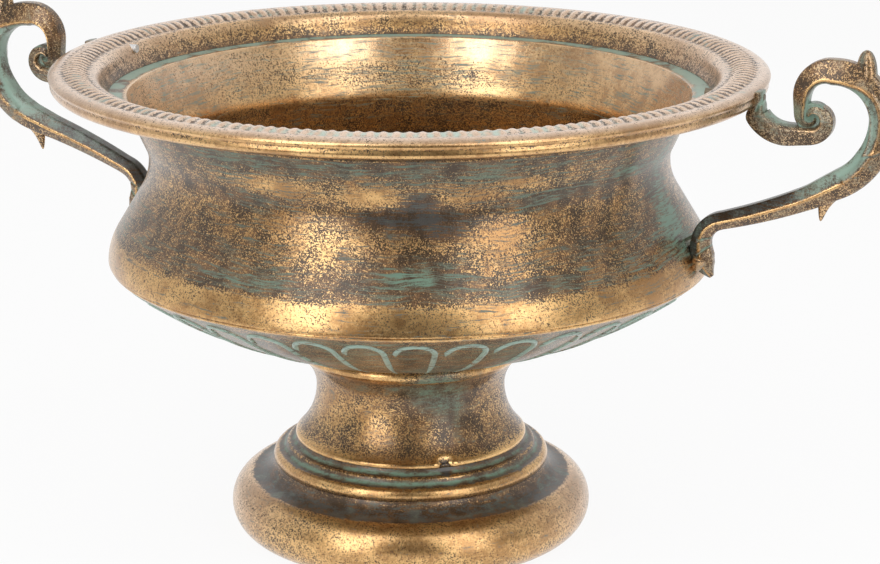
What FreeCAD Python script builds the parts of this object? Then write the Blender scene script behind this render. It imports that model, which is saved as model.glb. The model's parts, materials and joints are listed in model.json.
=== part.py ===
import FreeCAD, Part
import math
import os

# A footed metal urn with two scroll handles, in millimetres.
# +Z is up, the origin is the centre of the standing face and the handles lie along X.

# Foot casting
foot_overhang = 17.1
foot_roll = 12.2
foot_flat = 0.5
foot_wall = 3.0
foot_height = 39.0
foot_web = 3.5
foot_bead = 3.1
foot_bead_overhang = 9.0
bead_drop = 8.3
bead_wrap = 48.0
bead_top_angle = 70.0
cove_sag = 1.6
groove_depth = 1.0
ridge_start = 0.46
ridge_end = 0.58
roll_top_angle = 73.0
roll_hem_angle = 30.0
hollow_lean = 25.0

# Stem
stem_height = 34.0
stem_wall = 2.5
stem_waist_radius = 37.9
stem_foot_flare = 8.6
stem_top_flare = 6.1
stem_lip = 1.5
stem_waist_height = 21.0
notch_width = 5.0
notch_depth = 2.6
notch_height = 2.4
notch_azimuth = 39.0

# Collar between stem and bowl
collar_bulge = 1.4
collar_height = 5.1
collar_wall = 10.0

# Bowl pressings
bowl_wall = 2.0
dish_sphere = 195.0
belly_overhang = 17.0
seam_ridge = 1.5
seam_step = 0.4
seam_lap = 3.6
seam_clearance = 0.05
band_height = 10.6
band_taper = 3.0
band_bulge = 0.7
shoulder_angle = 31.5
shoulder_curve = 26.0
neck_radius = 102.2
flare_curve = 12.0
flare_angle = 24.0
flare_length = 20.0
flange_width = 8.2

# Rim ring
rim_overhang = 20.4
rim_rise = 3.4
lower_bead = 3.7
lower_bead_inset = 0.6
upper_bead = 2.6
bead_groove = 1.0
lip_width = 5.7
lip_rise = 0.9
border_width = 9.5
border_crown = 1.5
border_fall = 1.1
roll_width = 4.8
roll_depth = 3.6
roll_crown = 1.1
cove_hollow = 0.3
seat_width = 2.4
seat_lap = 1.2
under_hollow = 2.5
ring_gap = 0.1

# Scroll handles
bar_width = 9.3
bar_thickness = 11.0
bar_inner_flat = 6.0
bar_outer_flat = 5.2
arm_bend = 13.5
arm_offset = 11.5
arm_rise = 4.75
arm_sweep = 125.0
arm_lead = 1.4
eye_radius = 7.2
eye_drop = 8.8
eye_offset = 10.0
eye_rim = 4.4
leg_offset = 6.6
scroll_start_bend = 11.2
scroll_top_bend = 18.2
scroll_side_bend = 27.7
leg_top = -0.2
end_bend = 10.0
end_stand_off = 3.2
end_bend_drop = 4.4
leaf_drop = 8.6
bud_angle = 60.0
bud_lean = 97.0
bud_radius = 3.0
bud_height = 6.4
thorn_length = 11.0
thorn_radius = 3.6
thorn_angle = 76.0
thorn_place = 3.0

# Handle fasteners
rivet_diameter = 3.4
rivet_tilt = 2.0
rivet_height = 4.1
rivet_proud = 0.6
rivet_bite = 2.2
screw_diameter = 4.0
screw_head_diameter = 7.6
screw_head_height = 2.6
screw_bite = 7.0
screw_rise = 4.5
screw_washer_diameter = 10.0
screw_washer_thickness = 0.8
washer_seat = 0.12
hole_clearance = 0.15

# Tie bolt and its washers
bolt_diameter = 8.0
bolt_head_diameter = 15.0
bolt_head_height = 5.0
bolt_head_edge = 1.4
bolt_clearance = 1.0
bolt_tail = 3.0
washer_diameter = 28.0
washer_thickness = 2.0
seal_diameter = 30.0
seal_thickness = 2.5
lock_diameter = 14.0
lock_thickness = 2.0
lock_gap = 2.0
nut_flats = 13.0
nut_height = 6.5


def vec(r, z):
    """A point of the XZ plane: distance from the axis and height."""
    return FreeCAD.Vector(r, 0, z)


def line(a, b):
    """A straight edge between two (r, z) points."""
    return Part.makeLine(vec(*a), vec(*b))


def arc(a, mid, b):
    """A circular edge through three (r, z) points."""
    return Part.Arc(vec(*a), vec(*mid), vec(*b)).toShape()


def on_circle(centre, radius, degrees):
    """The (r, z) point of a circle at an angle from +r, turning towards +z."""
    a = math.radians(degrees)
    return (centre[0] + radius * math.cos(a), centre[1] + radius * math.sin(a))


def circle_arc(centre, radius, start, end):
    """A circular edge from one angle of a circle to another."""
    points = [on_circle(centre, radius, t) for t in (start, (start + end) / 2, end)]
    return arc(*points)


def bowed(a, b, bow):
    """A circular edge from a to b that bows to the left of its chord by bow."""
    chord = math.hypot(b[0] - a[0], b[1] - a[1])
    left = (-(b[1] - a[1]) / chord, (b[0] - a[0]) / chord)
    mid = ((a[0] + b[0]) / 2 + bow * left[0], (a[1] + b[1]) / 2 + bow * left[1])
    return arc(a, mid, b)


def turned(edges):
    """The solid of revolution about Z of a closed chain of edges, with its seam between the handles."""
    face = Part.Face(Part.Wire(Part.__sortEdges__(edges)))
    face.rotate(FreeCAD.Vector(), FreeCAD.Vector(0, 0, 1), 90)
    solid = face.revolve(FreeCAD.Vector(), FreeCAD.Vector(0, 0, 1), 360)
    return solid if solid.Volume > 0 else solid.reversed()


def disc(radius, bottom, height):
    """An upright cylinder on the axis."""
    return Part.makeCylinder(radius, height, FreeCAD.Vector(0, 0, bottom))


def washer(radius, bore, bottom, height):
    """A flat ring on the axis."""
    return disc(radius, bottom, height).cut(disc(bore, bottom, height))


def rod(start, direction, radius, length):
    """A cylinder from an (r, z) point along an (r, z) direction."""
    return Part.makeCylinder(radius, length, vec(*start), vec(*direction))


def both_sides(shape):
    """The shape on the +X side and its copy turned half round the axis."""
    other = shape.copy()
    other.rotate(FreeCAD.Vector(), FreeCAD.Vector(0, 0, 1), 180)
    return [shape, other]


def sag(radius, r):
    """Rise of a sphere of that radius above its lowest point, at distance r."""
    return radius - math.sqrt(radius ** 2 - r ** 2)


# Radii that follow from the waist of the stem and the neck of the bowl
stem_foot_radius = stem_waist_radius + stem_foot_flare
stem_top_radius = stem_waist_radius + stem_top_flare
foot_bead_radius = stem_foot_radius + foot_bead_overhang
foot_radius = foot_bead_radius + foot_overhang
collar_radius = stem_top_radius + collar_bulge
collar_bore = stem_top_radius - collar_wall
belly_radius = neck_radius + belly_overhang
band_top_radius = belly_radius - band_taper
bolt_hole = bolt_diameter + bolt_clearance

# Heights that stack up from the standing face
stem_bottom = foot_height
stem_top = stem_bottom + stem_height
dish_bottom = stem_top + collar_height - sag(dish_sphere, stem_top_radius)
dish_floor = dish_bottom + bowl_wall
seam_radius = belly_radius - seam_step
seam_bottom = dish_bottom + sag(dish_sphere, seam_radius - seam_ridge / 2)
seam_top = seam_bottom + seam_ridge
band_top = seam_top + band_height

# Points of the neck that the rim, the handles and the fasteners share
slope = math.radians(shoulder_angle)
shoulder_out = (math.cos(slope), math.sin(slope))
curve_radius = neck_radius + shoulder_curve * (1 - math.cos(slope))
curve_height = band_top + (band_top_radius - curve_radius) / math.tan(slope)
neck_height = curve_height + shoulder_curve * math.sin(slope)
lower_centre = (neck_radius + shoulder_curve, neck_height)
upper_centre = (neck_radius + flare_curve, neck_height)
flare = math.radians(flare_angle)
flare_start = on_circle(upper_centre, flare_curve, 180 - flare_angle)
flare_start_in = on_circle(upper_centre, flare_curve + bowl_wall, 180 - flare_angle)
flare_end = (flare_start[0] + flare_length * math.sin(flare), flare_start[1] + flare_length * math.cos(flare))
flange_top = flare_end[1] + bowl_wall
flange_radius = flare_end[0] + flange_width
flare_end_in = (flare_start_in[0] + (flange_top - flare_start_in[1]) * math.tan(flare), flange_top)
lip_bottom = flange_top + rim_rise
rim_radius = flange_radius + rim_overhang


def foot():
    """Cast foot: round moulding, cove, bead, two sloping grooves, flat seat and inner web."""
    centre = (foot_radius - foot_roll, foot_roll - foot_flat)
    flat_half = math.degrees(math.acos((foot_roll - foot_flat) / foot_roll))
    flat_out = on_circle(centre, foot_roll, -90 + flat_half)
    flat_in = on_circle(centre, foot_roll, -90 - flat_half)
    roll_top = on_circle(centre, foot_roll, roll_top_angle)
    bead_centre = (foot_bead_radius - foot_bead, foot_height - bead_drop)
    bead_low = on_circle(bead_centre, foot_bead, -bead_wrap)
    bead_top = on_circle(bead_centre, foot_bead, bead_top_angle)
    seat_edge = (stem_foot_radius - stem_lip / 3, foot_height)
    ridge_out = tuple(b + ridge_start * (s - b) for b, s in zip(bead_top, seat_edge))
    ridge_in = tuple(b + ridge_end * (s - b) for b, s in zip(bead_top, seat_edge))
    hem_angle = -90 - roll_hem_angle
    hem_out = on_circle(centre, foot_roll, hem_angle)
    hem_in = on_circle(centre, foot_roll - foot_wall, hem_angle)
    hollow_angle = roll_top_angle + hollow_lean
    hollow_top = on_circle(centre, foot_roll - foot_wall, hollow_angle)
    under_bead = (bead_centre[0] - foot_bead, bead_centre[1] - foot_bead / 2)
    web_low = foot_height - foot_web
    web_edge = (seat_edge[0] - foot_wall / 2, web_low)
    bore = bolt_hole / 2
    edges = [
        circle_arc(centre, foot_roll, -90 + flat_half, roll_top_angle),
        bowed(roll_top, bead_low, cove_sag),
        circle_arc(bead_centre, foot_bead, -bead_wrap, bead_top_angle),
        bowed(bead_top, ridge_out, groove_depth),
        line(ridge_out, ridge_in),
        bowed(ridge_in, seat_edge, groove_depth),
        line(seat_edge, (bore, foot_height)),
        line((bore, foot_height), (bore, web_low)),
        line((bore, web_low), web_edge),
        line(web_edge, under_bead),
        line(under_bead, hollow_top),
        circle_arc(centre, foot_roll - foot_wall, hollow_angle, hem_angle),
        line(hem_in, hem_out),
        circle_arc(centre, foot_roll, hem_angle, -90 - flat_half),
        line(flat_in, flat_out),
    ]
    return turned(edges)


def stem_curve(shift, low_height):
    """Waisted side of the stem from low_height to its top, moved towards the axis by shift."""
    waist = (stem_waist_radius, stem_bottom + stem_waist_height)
    low_run = waist[1] - stem_bottom - stem_lip
    low_flare = stem_foot_radius - stem_waist_radius
    low_bend = (low_run ** 2 + low_flare ** 2) / (2 * low_flare)
    high_run = stem_top - waist[1]
    high_flare = stem_top_radius - stem_waist_radius
    high_bend = (high_run ** 2 + high_flare ** 2) / (2 * high_flare)
    low_angle = 180 + math.degrees(math.asin((waist[1] - low_height) / (low_bend + shift)))
    high_angle = 180 - math.degrees(math.asin(high_run / (high_bend + shift)))
    low_centre = (waist[0] + low_bend, waist[1])
    high_centre = (waist[0] + high_bend, waist[1])
    low = circle_arc(low_centre, low_bend + shift, low_angle, 180)
    high = circle_arc(high_centre, high_bend + shift, 180, high_angle)
    start = on_circle(low_centre, low_bend + shift, low_angle)
    end = on_circle(high_centre, high_bend + shift, high_angle)
    return [low, high], start, end


def stem():
    """Hollow waisted stem with a flared lip, nicked at one place, on the foot."""
    outside, out_low, out_high = stem_curve(0, stem_bottom + stem_lip)
    inside, in_low, in_high = stem_curve(stem_wall, stem_bottom)
    lip = (stem_foot_radius, stem_bottom)
    edges = outside + inside
    edges += [line(lip, out_low), line(lip, in_low), line(out_high, in_high)]
    body = turned(edges)
    notch = Part.makeBox(2 * notch_depth, notch_width, 2 * notch_height)
    notch.translate(FreeCAD.Vector(stem_foot_radius - notch_depth, -notch_width / 2, stem_bottom - notch_height))
    notch.rotate(FreeCAD.Vector(), FreeCAD.Vector(0, 0, 1), notch_azimuth - 90)
    return body.cut(notch)


def collar():
    """Beaded ring that carries the round underside of the bowl on the stem."""
    seat_in = (collar_bore, dish_bottom + sag(dish_sphere, collar_bore))
    seat_out = (stem_top_radius, dish_bottom + sag(dish_sphere, stem_top_radius))
    seat_mid_radius = (collar_bore + stem_top_radius) / 2
    seat_mid = (seat_mid_radius, dish_bottom + sag(dish_sphere, seat_mid_radius))
    foot_out = (stem_top_radius, stem_top)
    bead_mid = (collar_radius, (stem_top + seat_out[1]) / 2)
    edges = [
        arc(seat_in, seat_mid, seat_out),
        arc(seat_out, bead_mid, foot_out),
        line(foot_out, (collar_bore, stem_top)),
        line((collar_bore, stem_top), seat_in),
    ]
    return turned(edges)


def sphere_edge(radius, lowest, r_in, r_out):
    """Arc of a sphere's section between two distances from the axis."""
    mid = (r_in + r_out) / 2
    points = [(r, lowest + sag(radius, r)) for r in (r_in, mid, r_out)]
    return arc(*points)


def bowl_dish():
    """Round underside of the bowl, with the seam ridge and the lap inside the band."""
    inner_sphere = dish_sphere - bowl_wall
    bore = bolt_hole / 2
    ridge_start = (seam_radius - seam_ridge / 2, seam_bottom)
    ridge_mid = (seam_radius, (seam_bottom + seam_top) / 2)
    ridge_end = (seam_radius - seam_step, seam_top)
    lap_out = belly_radius - bowl_wall - seam_clearance
    lap_in = lap_out - bowl_wall
    lap_top = seam_top + seam_lap
    inner_end = (lap_in, dish_floor + sag(inner_sphere, lap_in))
    edges = [
        sphere_edge(dish_sphere, dish_bottom, bore, ridge_start[0]),
        arc(ridge_start, ridge_mid, ridge_end),
        line(ridge_end, (lap_out, seam_top)),
        line((lap_out, seam_top), (lap_out, lap_top)),
        line((lap_out, lap_top), (lap_in, lap_top)),
        line((lap_in, lap_top), inner_end),
        sphere_edge(inner_sphere, dish_floor, bore, lap_in),
        line((bore, dish_floor + sag(inner_sphere, bore)), (bore, dish_bottom + sag(dish_sphere, bore))),
    ]
    return turned(edges)


def bowl_body():
    """Upper bowl: shoulder band, waisted neck, flare and the flat flange under the rim."""
    band_low = (belly_radius, seam_top)
    band_high = (band_top_radius, band_top)
    belly_in = belly_radius - bowl_wall
    curve_in = on_circle(lower_centre, shoulder_curve + bowl_wall, 180 + shoulder_angle)
    corner_in = (belly_in, curve_in[1] - (belly_in - curve_in[0]) / math.tan(slope))
    edges = [
        bowed(band_low, band_high, -band_bulge),
        line(band_high, (curve_radius, curve_height)),
        circle_arc(lower_centre, shoulder_curve, 180 + shoulder_angle, 180),
        circle_arc(upper_centre, flare_curve, 180, 180 - flare_angle),
        line(flare_start, flare_end),
        line(flare_end, (flange_radius, flare_end[1])),
        line((flange_radius, flare_end[1]), (flange_radius, flange_top)),
        line((flange_radius, flange_top), flare_end_in),
        line(flare_end_in, flare_start_in),
        circle_arc(upper_centre, flare_curve + bowl_wall, 180 - flare_angle, 180),
        circle_arc(lower_centre, shoulder_curve + bowl_wall, 180, 180 + shoulder_angle),
        line(curve_in, corner_in),
        line(corner_in, (belly_in, seam_top)),
        line((belly_in, seam_top), band_low),
    ]
    return turned(edges)


def rim_ring():
    """Cast rim: two beads, rolled lip, border, inner roll and wall, seated on the flange."""
    bead_groove_radius = rim_radius - bead_groove
    bead_low = (rim_radius - lower_bead_inset - lower_bead / 2, lip_bottom)
    bead_mid = (rim_radius - lower_bead_inset, lip_bottom + lower_bead / 2)
    groove = (bead_groove_radius, lip_bottom + lower_bead)
    upper_mid = (rim_radius, groove[1] + upper_bead / 2)
    lip_low = (bead_groove_radius, groove[1] + upper_bead)
    lip_high = (rim_radius - lip_width, lip_low[1] + lip_rise)
    border_in = (lip_high[0] - border_width, lip_high[1] - border_fall)
    roll_in = (border_in[0] - roll_width, border_in[1] - roll_depth)
    seat_in = (flange_radius - seat_width, flange_top)
    step_high = (flange_radius + ring_gap, flange_top)
    step_low = (step_high[0], flange_top - seat_lap)
    edges = [
        arc(bead_low, bead_mid, groove),
        arc(groove, upper_mid, lip_low),
        bowed(lip_low, lip_high, -lip_rise / 2),
        bowed(lip_high, border_in, -border_crown),
        bowed(border_in, roll_in, -roll_crown),
        bowed(roll_in, seat_in, cove_hollow),
        line(seat_in, step_high),
        line(step_high, step_low),
        bowed(step_low, bead_low, under_hollow),
    ]
    return turned(edges)


def bar_section(point, along):
    """Six-sided bar section at a path point: flat inner face, side arris, narrow back."""
    right = (along[1], -along[0])
    half = bar_width / 2
    outline = [
        (half, bar_inner_flat / 2),
        (0, bar_thickness / 2),
        (-half, bar_outer_flat / 2),
        (-half, -bar_outer_flat / 2),
        (0, -bar_thickness / 2),
        (half, -bar_inner_flat / 2),
    ]
    corners = [vec(point[0] + right[0] * u, point[1] + right[1] * u) for u, _ in outline]
    for corner, (_, y) in zip(corners, outline):
        corner.y = y
    return Part.makePolygon(corners + corners[:1])


def swept_bar(edges, point, along):
    """The bar section carried along a path that starts at point."""
    solid = Part.Wire(edges).makePipeShell([bar_section(point, along)], True, False)
    return solid if solid.Volume > 0 else solid.reversed()


# Centres of the handle's bends, placed from the rim and the shoulder
arm_centre = (rim_radius + arm_offset, lip_bottom + arm_rise)
eye_centre = (arm_centre[0] + eye_offset, arm_centre[1] - eye_drop)
leg_radius = arm_centre[0] + leg_offset
leg_end = (leg_radius, arm_centre[1] + leg_top)
start_centre = (leg_radius + scroll_start_bend, leg_end[1])
top_centre = (start_centre[0], start_centre[1] + scroll_start_bend - scroll_top_bend)
side_centre = (top_centre[0] + scroll_top_bend - scroll_side_bend, top_centre[1])
end_radius = band_top_radius + end_stand_off
end_centre = (end_radius + end_bend, band_top + end_bend_drop)


def lower_bar():
    """Ends and heading of the straight bar that touches the side bend and the end bend."""
    span = (end_centre[0] - side_centre[0], end_centre[1] - side_centre[1])
    bends = scroll_side_bend + end_bend
    length = math.sqrt(span[0] ** 2 + span[1] ** 2 - bends ** 2)
    heading = math.atan2(span[1], span[0]) - math.atan2(bends, length)
    along = (math.cos(heading), math.sin(heading))
    left = (-along[1], along[0])
    start = tuple(c + scroll_side_bend * n for c, n in zip(side_centre, left))
    end = tuple(c - end_bend * n for c, n in zip(end_centre, left))
    return start, end, along


def handle_casting():
    """One scroll handle on the +X side, before it is fitted to the rim and the bowl."""
    bar_start, bar_end, bar_along = lower_bar()
    side_turn = -math.degrees(math.atan2(-bar_start[1] + side_centre[1], bar_start[0] - side_centre[0]))
    end_turn = math.degrees(math.atan2(bar_end[1] - end_centre[1], bar_end[0] - end_centre[0]))
    end_low = (end_radius, end_centre[1])
    leaf_tip = (end_radius, band_top - leaf_drop)
    leg_low = (leg_radius, eye_centre[1])
    scroll = [
        line(leg_low, leg_end),
        circle_arc(start_centre, scroll_start_bend, 180, 90),
        circle_arc(top_centre, scroll_top_bend, 90, 0),
        circle_arc(side_centre, scroll_side_bend, 0, side_turn),
        line(bar_start, bar_end),
        circle_arc(end_centre, end_bend, end_turn, 180),
        line(end_low, leaf_tip),
    ]
    arm_low = (arm_centre[0] - arm_bend, arm_centre[1])
    arm_top = (arm_low[0], arm_low[1] + arm_lead)
    arm = [line(arm_top, arm_low), circle_arc(arm_centre, arm_bend, 180, 180 + arm_sweep)]
    pieces = [swept_bar(arm, arm_top, (0, -1)), scroll_eye(), bud(), thorn(bar_start, bar_along)]
    return swept_bar(scroll, leg_low, (0, 1)).multiFuse(pieces).removeSplitter()


def scroll_eye():
    """Round eye that the scroll's upper end curls into."""
    rim = bar_thickness / 2
    edge = rim / 2
    outline = [(0, -edge), (eye_rim, -rim), (eye_radius, -edge), (eye_radius, edge), (eye_rim, rim), (0, edge)]
    corners = [FreeCAD.Vector(r, y, 0) for r, y in outline]
    face = Part.Face(Part.makePolygon(corners + corners[:1]))
    solid = face.revolve(FreeCAD.Vector(), FreeCAD.Vector(0, 1, 0), 360)
    solid = solid if solid.Volume > 0 else solid.reversed()
    solid.translate(vec(*eye_centre))
    return solid


def bud():
    """Small pointed bud on the crown of the scroll."""
    out = on_circle((0, 0), 1, bud_lean)
    base = on_circle(top_centre, scroll_top_bend, bud_angle)
    shaft = rod(base, out, bud_radius, bar_width / 2 + bud_height / 3)
    tip_base = tuple(p + (bar_width / 2 + bud_height / 3) * o for p, o in zip(base, out))
    tip = Part.makeCone(bud_radius, bud_radius / 4, 2 * bud_height / 3, vec(*tip_base), vec(*out))
    return shaft.fuse(tip)


def thorn(bar_start, along):
    """Pointed leaf tip that hangs below the start of the lower bar."""
    base = tuple(p + thorn_place * a for p, a in zip(bar_start, along))
    turn = math.radians(180 + thorn_angle)
    point = (math.cos(turn), math.sin(turn))
    return Part.makeCone(thorn_radius, thorn_radius / 8, thorn_length + bar_width / 4, vec(*base), vec(*point))


# Places of the handle fasteners
tilt = math.radians(rivet_tilt)
rivet_along = (math.cos(tilt), -math.sin(tilt))
rivet_face = rim_radius - lip_width - border_width - roll_width
rivet_start = (rivet_face - rivet_proud, lip_bottom + rivet_height)
rivet_length = (rim_radius + rivet_bite - rivet_start[0]) / rivet_along[0]
screw_outer = (
    band_top_radius - screw_rise * math.sin(slope),
    band_top + screw_rise * math.cos(slope),
)
screw_inner = tuple(p - bowl_wall * o for p, o in zip(screw_outer, shoulder_out))


def rivet(radius):
    """Rivet, or its hole, through the rim into the handle."""
    return rod(rivet_start, rivet_along, radius, rivet_length)


def screw_point(back):
    """Point on the lower screw's axis, back from the inner wall towards the axis."""
    return tuple(p - back * o for p, o in zip(screw_inner, shoulder_out))


def screw_shank(radius):
    """Shank of the lower screw, or its hole, from the washer into the handle."""
    back = washer_seat + screw_washer_thickness
    return rod(screw_point(back), shoulder_out, radius, back + bowl_wall + screw_bite)


def bowl_screw():
    """Pan-headed screw from inside the bowl into the handle's lower end."""
    back = washer_seat + screw_washer_thickness + screw_head_height
    head = rod(screw_point(back), shoulder_out, screw_head_diameter / 2, screw_head_height)
    return head.fuse(screw_shank(screw_diameter / 2)).removeSplitter()


def bowl_screw_washer():
    """Washer between the lower screw's head and the bowl wall."""
    back = washer_seat + screw_washer_thickness
    plate = rod(screw_point(back), shoulder_out, screw_washer_diameter / 2, screw_washer_thickness)
    return plate.cut(screw_shank(screw_diameter / 2 + hole_clearance))


def through(hole, shape):
    """The shape with the hole cut on both sides."""
    return shape.cut(both_sides(hole))


rivet_hole = rivet(rivet_diameter / 2 + hole_clearance / 3)
screw_hole = screw_shank(screw_diameter / 2 + hole_clearance)
rim = rim_ring()
body = bowl_body()
fitted = handle_casting().cut([rim, body, rivet_hole, screw_hole])
handle = max(fitted.Solids, key=lambda solid: solid.Volume)
handle_right, handle_left = both_sides(handle)

# Tie bolt stack, from the bowl's floor down to the nut under the foot's web
seal_top = dish_floor + sag(dish_sphere - bowl_wall, seal_diameter / 2) + seal_thickness
cup_top = seal_top + washer_thickness
web_bottom = foot_height - foot_web
lock_top = web_bottom - washer_thickness
nut_top = lock_top - lock_thickness
nut_bottom = nut_top - nut_height


def seal_washer():
    """Soft washer with a rounded underside that seals the bolt hole in the bowl."""
    sphere = dish_sphere - bowl_wall
    bore = bolt_hole / 2
    edge = seal_diameter / 2
    edges = [
        sphere_edge(sphere, dish_floor, bore, edge),
        line((edge, dish_floor + sag(sphere, edge)), (edge, seal_top)),
        line((edge, seal_top), (bore, seal_top)),
        line((bore, seal_top), (bore, dish_floor + sag(sphere, bore))),
    ]
    return turned(edges)


def tie_bolt():
    """Bolt with a domed head that pulls bowl, collar, stem and foot together."""
    tail = nut_bottom - bolt_tail
    shank = bolt_diameter / 2
    head = bolt_head_diameter / 2
    dome_low = cup_top + bolt_head_edge
    dome_high = cup_top + bolt_head_height
    dome = (head ** 2 + (dome_high - dome_low) ** 2) / (2 * (dome_high - dome_low))
    dome_centre = (0, dome_high - dome)
    dome_angle = math.degrees(math.acos(head / dome))
    edges = [
        line((0, tail), (shank, tail)),
        line((shank, tail), (shank, cup_top)),
        line((shank, cup_top), (head, cup_top)),
        line((head, cup_top), (head, dome_low)),
        circle_arc(dome_centre, dome, dome_angle, 90),
        line((0, dome_high), (0, tail)),
    ]
    return turned(edges)


def lock_washer():
    """Split spring washer under the clamp washer."""
    ring = washer(lock_diameter / 2, bolt_hole / 2, nut_top, lock_thickness)
    split = Part.makeBox(lock_diameter, lock_gap, lock_thickness)
    split.translate(FreeCAD.Vector(0, -lock_gap / 2, nut_top))
    return ring.cut(split)


def tie_nut():
    """Hexagon nut on the bolt's tail."""
    corner = nut_flats / math.sqrt(3)
    corners = [FreeCAD.Vector(*on_circle((0, 0), corner, 60 * i), nut_bottom) for i in range(6)]
    hexagon = Part.Face(Part.makePolygon(corners + corners[:1]))
    return hexagon.extrude(FreeCAD.Vector(0, 0, nut_height)).cut(disc(bolt_diameter / 2, nut_bottom, nut_height))


nodes = {
    "foot": foot(),
    "stem": stem(),
    "stem_collar": collar(),
    "bowl_dish": bowl_dish(),
    "bowl_body": through(screw_hole, body),
    "rim_ring": through(rivet_hole, rim),
    "handle_right": handle_right,
    "handle_left": handle_left,
    "handle_rim_rivets": Part.makeCompound(both_sides(rivet(rivet_diameter / 2))),
    "handle_bowl_screws": Part.makeCompound(both_sides(bowl_screw())),
    "handle_bowl_washers": Part.makeCompound(both_sides(bowl_screw_washer())),
    "tie_bolt": tie_bolt(),
    "seal_washer": seal_washer(),
    "bowl_washer": washer(washer_diameter / 2, bolt_hole / 2, seal_top, washer_thickness),
    "clamp_washer": washer(washer_diameter / 2, bolt_hole / 2, lock_top, washer_thickness),
    "lock_washer": lock_washer(),
    "tie_nut": tie_nut(),
}

os.makedirs("parts", exist_ok=True)
for name, shape in nodes.items():
    shape.exportStep("parts/" + name + ".step")
    box = shape.BoundBox
    size = "%.1f..%.1f  %.1f..%.1f  %.1f..%.1f" % (box.XMin, box.XMax, box.YMin, box.YMax, box.ZMin, box.ZMax)
    print(name, len(shape.Solids), "solids", "valid" if shape.isValid() else "INVALID", size)
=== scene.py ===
import json
import math

import bpy
import numpy as np
from bpy.props import FloatProperty, FloatVectorProperty, IntProperty, PointerProperty
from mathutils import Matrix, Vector


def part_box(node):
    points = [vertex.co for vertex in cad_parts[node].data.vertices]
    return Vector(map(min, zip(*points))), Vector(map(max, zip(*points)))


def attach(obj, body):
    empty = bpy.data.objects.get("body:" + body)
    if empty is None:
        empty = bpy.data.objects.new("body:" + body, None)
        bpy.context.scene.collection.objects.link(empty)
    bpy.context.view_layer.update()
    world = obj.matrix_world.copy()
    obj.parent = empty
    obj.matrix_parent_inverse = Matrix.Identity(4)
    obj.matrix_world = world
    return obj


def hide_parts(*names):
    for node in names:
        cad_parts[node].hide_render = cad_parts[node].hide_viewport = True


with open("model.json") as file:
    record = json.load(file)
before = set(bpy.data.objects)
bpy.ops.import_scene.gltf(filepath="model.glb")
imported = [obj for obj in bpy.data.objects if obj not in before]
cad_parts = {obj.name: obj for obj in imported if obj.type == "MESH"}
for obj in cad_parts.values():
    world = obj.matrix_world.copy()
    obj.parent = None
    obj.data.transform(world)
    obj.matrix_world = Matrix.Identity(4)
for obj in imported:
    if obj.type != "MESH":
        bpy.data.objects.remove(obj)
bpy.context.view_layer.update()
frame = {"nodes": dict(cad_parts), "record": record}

bl_info = {
    "name": "Footed Metal Urn",
    "version": (1, 0, 0),
    "blender": (4, 5, 0),
    "location": "View3D > Sidebar > Urn",
    "description": "Dresses a footed urn with scroll handles in aged bronze and verdigris",
    "category": "Add Mesh",
}

MM = 0.001

# Finish of a stretch of surface: share of gold, verdigris, soot, pink blush and flutes
GOLD = (0.66, 0.04, 0.0, 0.0, 0.0)
BRONZE = (0.50, 0.14, 0.0, 0.0, 0.0)
INSIDE = (0.70, 0.26, 0.0, 0.1, 0.0)
VEILED = (0.43, 0.38, 0.04, 0.0, 0.0)
UMBER = (0.30, 0.16, 0.06, 0.0, 0.0)
MOSSY = (0.36, 0.50, 0.04, 0.0, 0.0)
GREEN = (0.20, 0.95, 0.0, 0.0, 0.0)
LEDGE = (0.20, 1.15, 0.0, 0.4, 0.0)
# Soot and painted shade along the edges of the foot's grooves
EDGE_SOOT_AND_SHADE = (0.18, 0.40, 0.50, 0.0, 0.0)
DARK = (0.17, 0.22, 0.62, 0.0, 0.0)
DUSK = (0.44, 0.18, 0.16, 0.0, 0.0)
LIP = (0.64, 0.03, 0.0, 0.9, 0.0)
BORDER = (0.78, 0.04, 0.0, 0.9, 1.0)
ROLLED = (0.57, 0.04, 0.0, 0.25, 0.0)
COVE = (0.54, 0.05, 0.0, 0.0, 0.0)
HIDDEN = (0.20, 0.15, 0.40, 0.0, 0.0)
CHANNELS = ("gild", "verdigris", "soot", "blush")


def reach(node):
    """Outer radius, lowest and highest level of a CAD node, in millimetres."""
    low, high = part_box(node)
    return high[0] / MM, low[2] / MM, high[2] / MM


# Sizes that the frame gives, in millimetres
FOOT_RADIUS, _, FOOT_TOP = reach("foot")
STEM_FOOT_RADIUS, STEM_BOTTOM, STEM_TOP = reach("stem")
COLLAR_RADIUS, COLLAR_BOTTOM, _ = reach("stem_collar")
_, DISH_BOTTOM, DISH_TOP = reach("bowl_dish")
FLANGE_TOP = reach("bowl_body")[2]
RIM_RADIUS = reach("rim_ring")[0]
BOLT_HOLE_RADIUS = 4.5

# Foot
FOOT_ROLL = 12.2
FOOT_FLAT = 0.5
FOOT_WALL = 3.0
FOOT_WEB = 3.5
FOOT_BEAD = 3.1
FOOT_BEAD_OVERHANG = 9.0
BEAD_DROP = 8.3
BEAD_WRAP = 48.0
BEAD_TOP_ANGLE = 70.0
FOOT_COVE_SAG = 1.6
GROOVE_DEPTH = 1.0
RIDGE_START = 0.46
RIDGE_END = 0.58
ROLL_TOP_ANGLE = 73.0
ROLL_HEM_ANGLE = 30.0
HOLLOW_LEAN = 25.0
LOWER_GREEN = (0.42, 0.84)
UPPER_GREEN = (0.30, 0.75)

# Stem and collar
STEM_WALL = 2.5
STEM_LIP = 1.5
STEM_WAIST_RADIUS = 37.9
STEM_WAIST_HEIGHT = 21.0
STEM_TOP_RADIUS = 44.0
NICK_AZIMUTH = -51.0
NICK_WIDTH = 2.2
NICK_DEPTH = 1.5
NICK_TOP = 3.4
NICK_FULL = 1.6
BURR_LENGTH = 1.5
BURR_LEVEL = 1.0
BURR_RADIUS = 3.1
BURR_WIDTH = 0.7
BURR_HEIGHT = 0.15
COLLAR_WALL = 10.0

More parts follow.
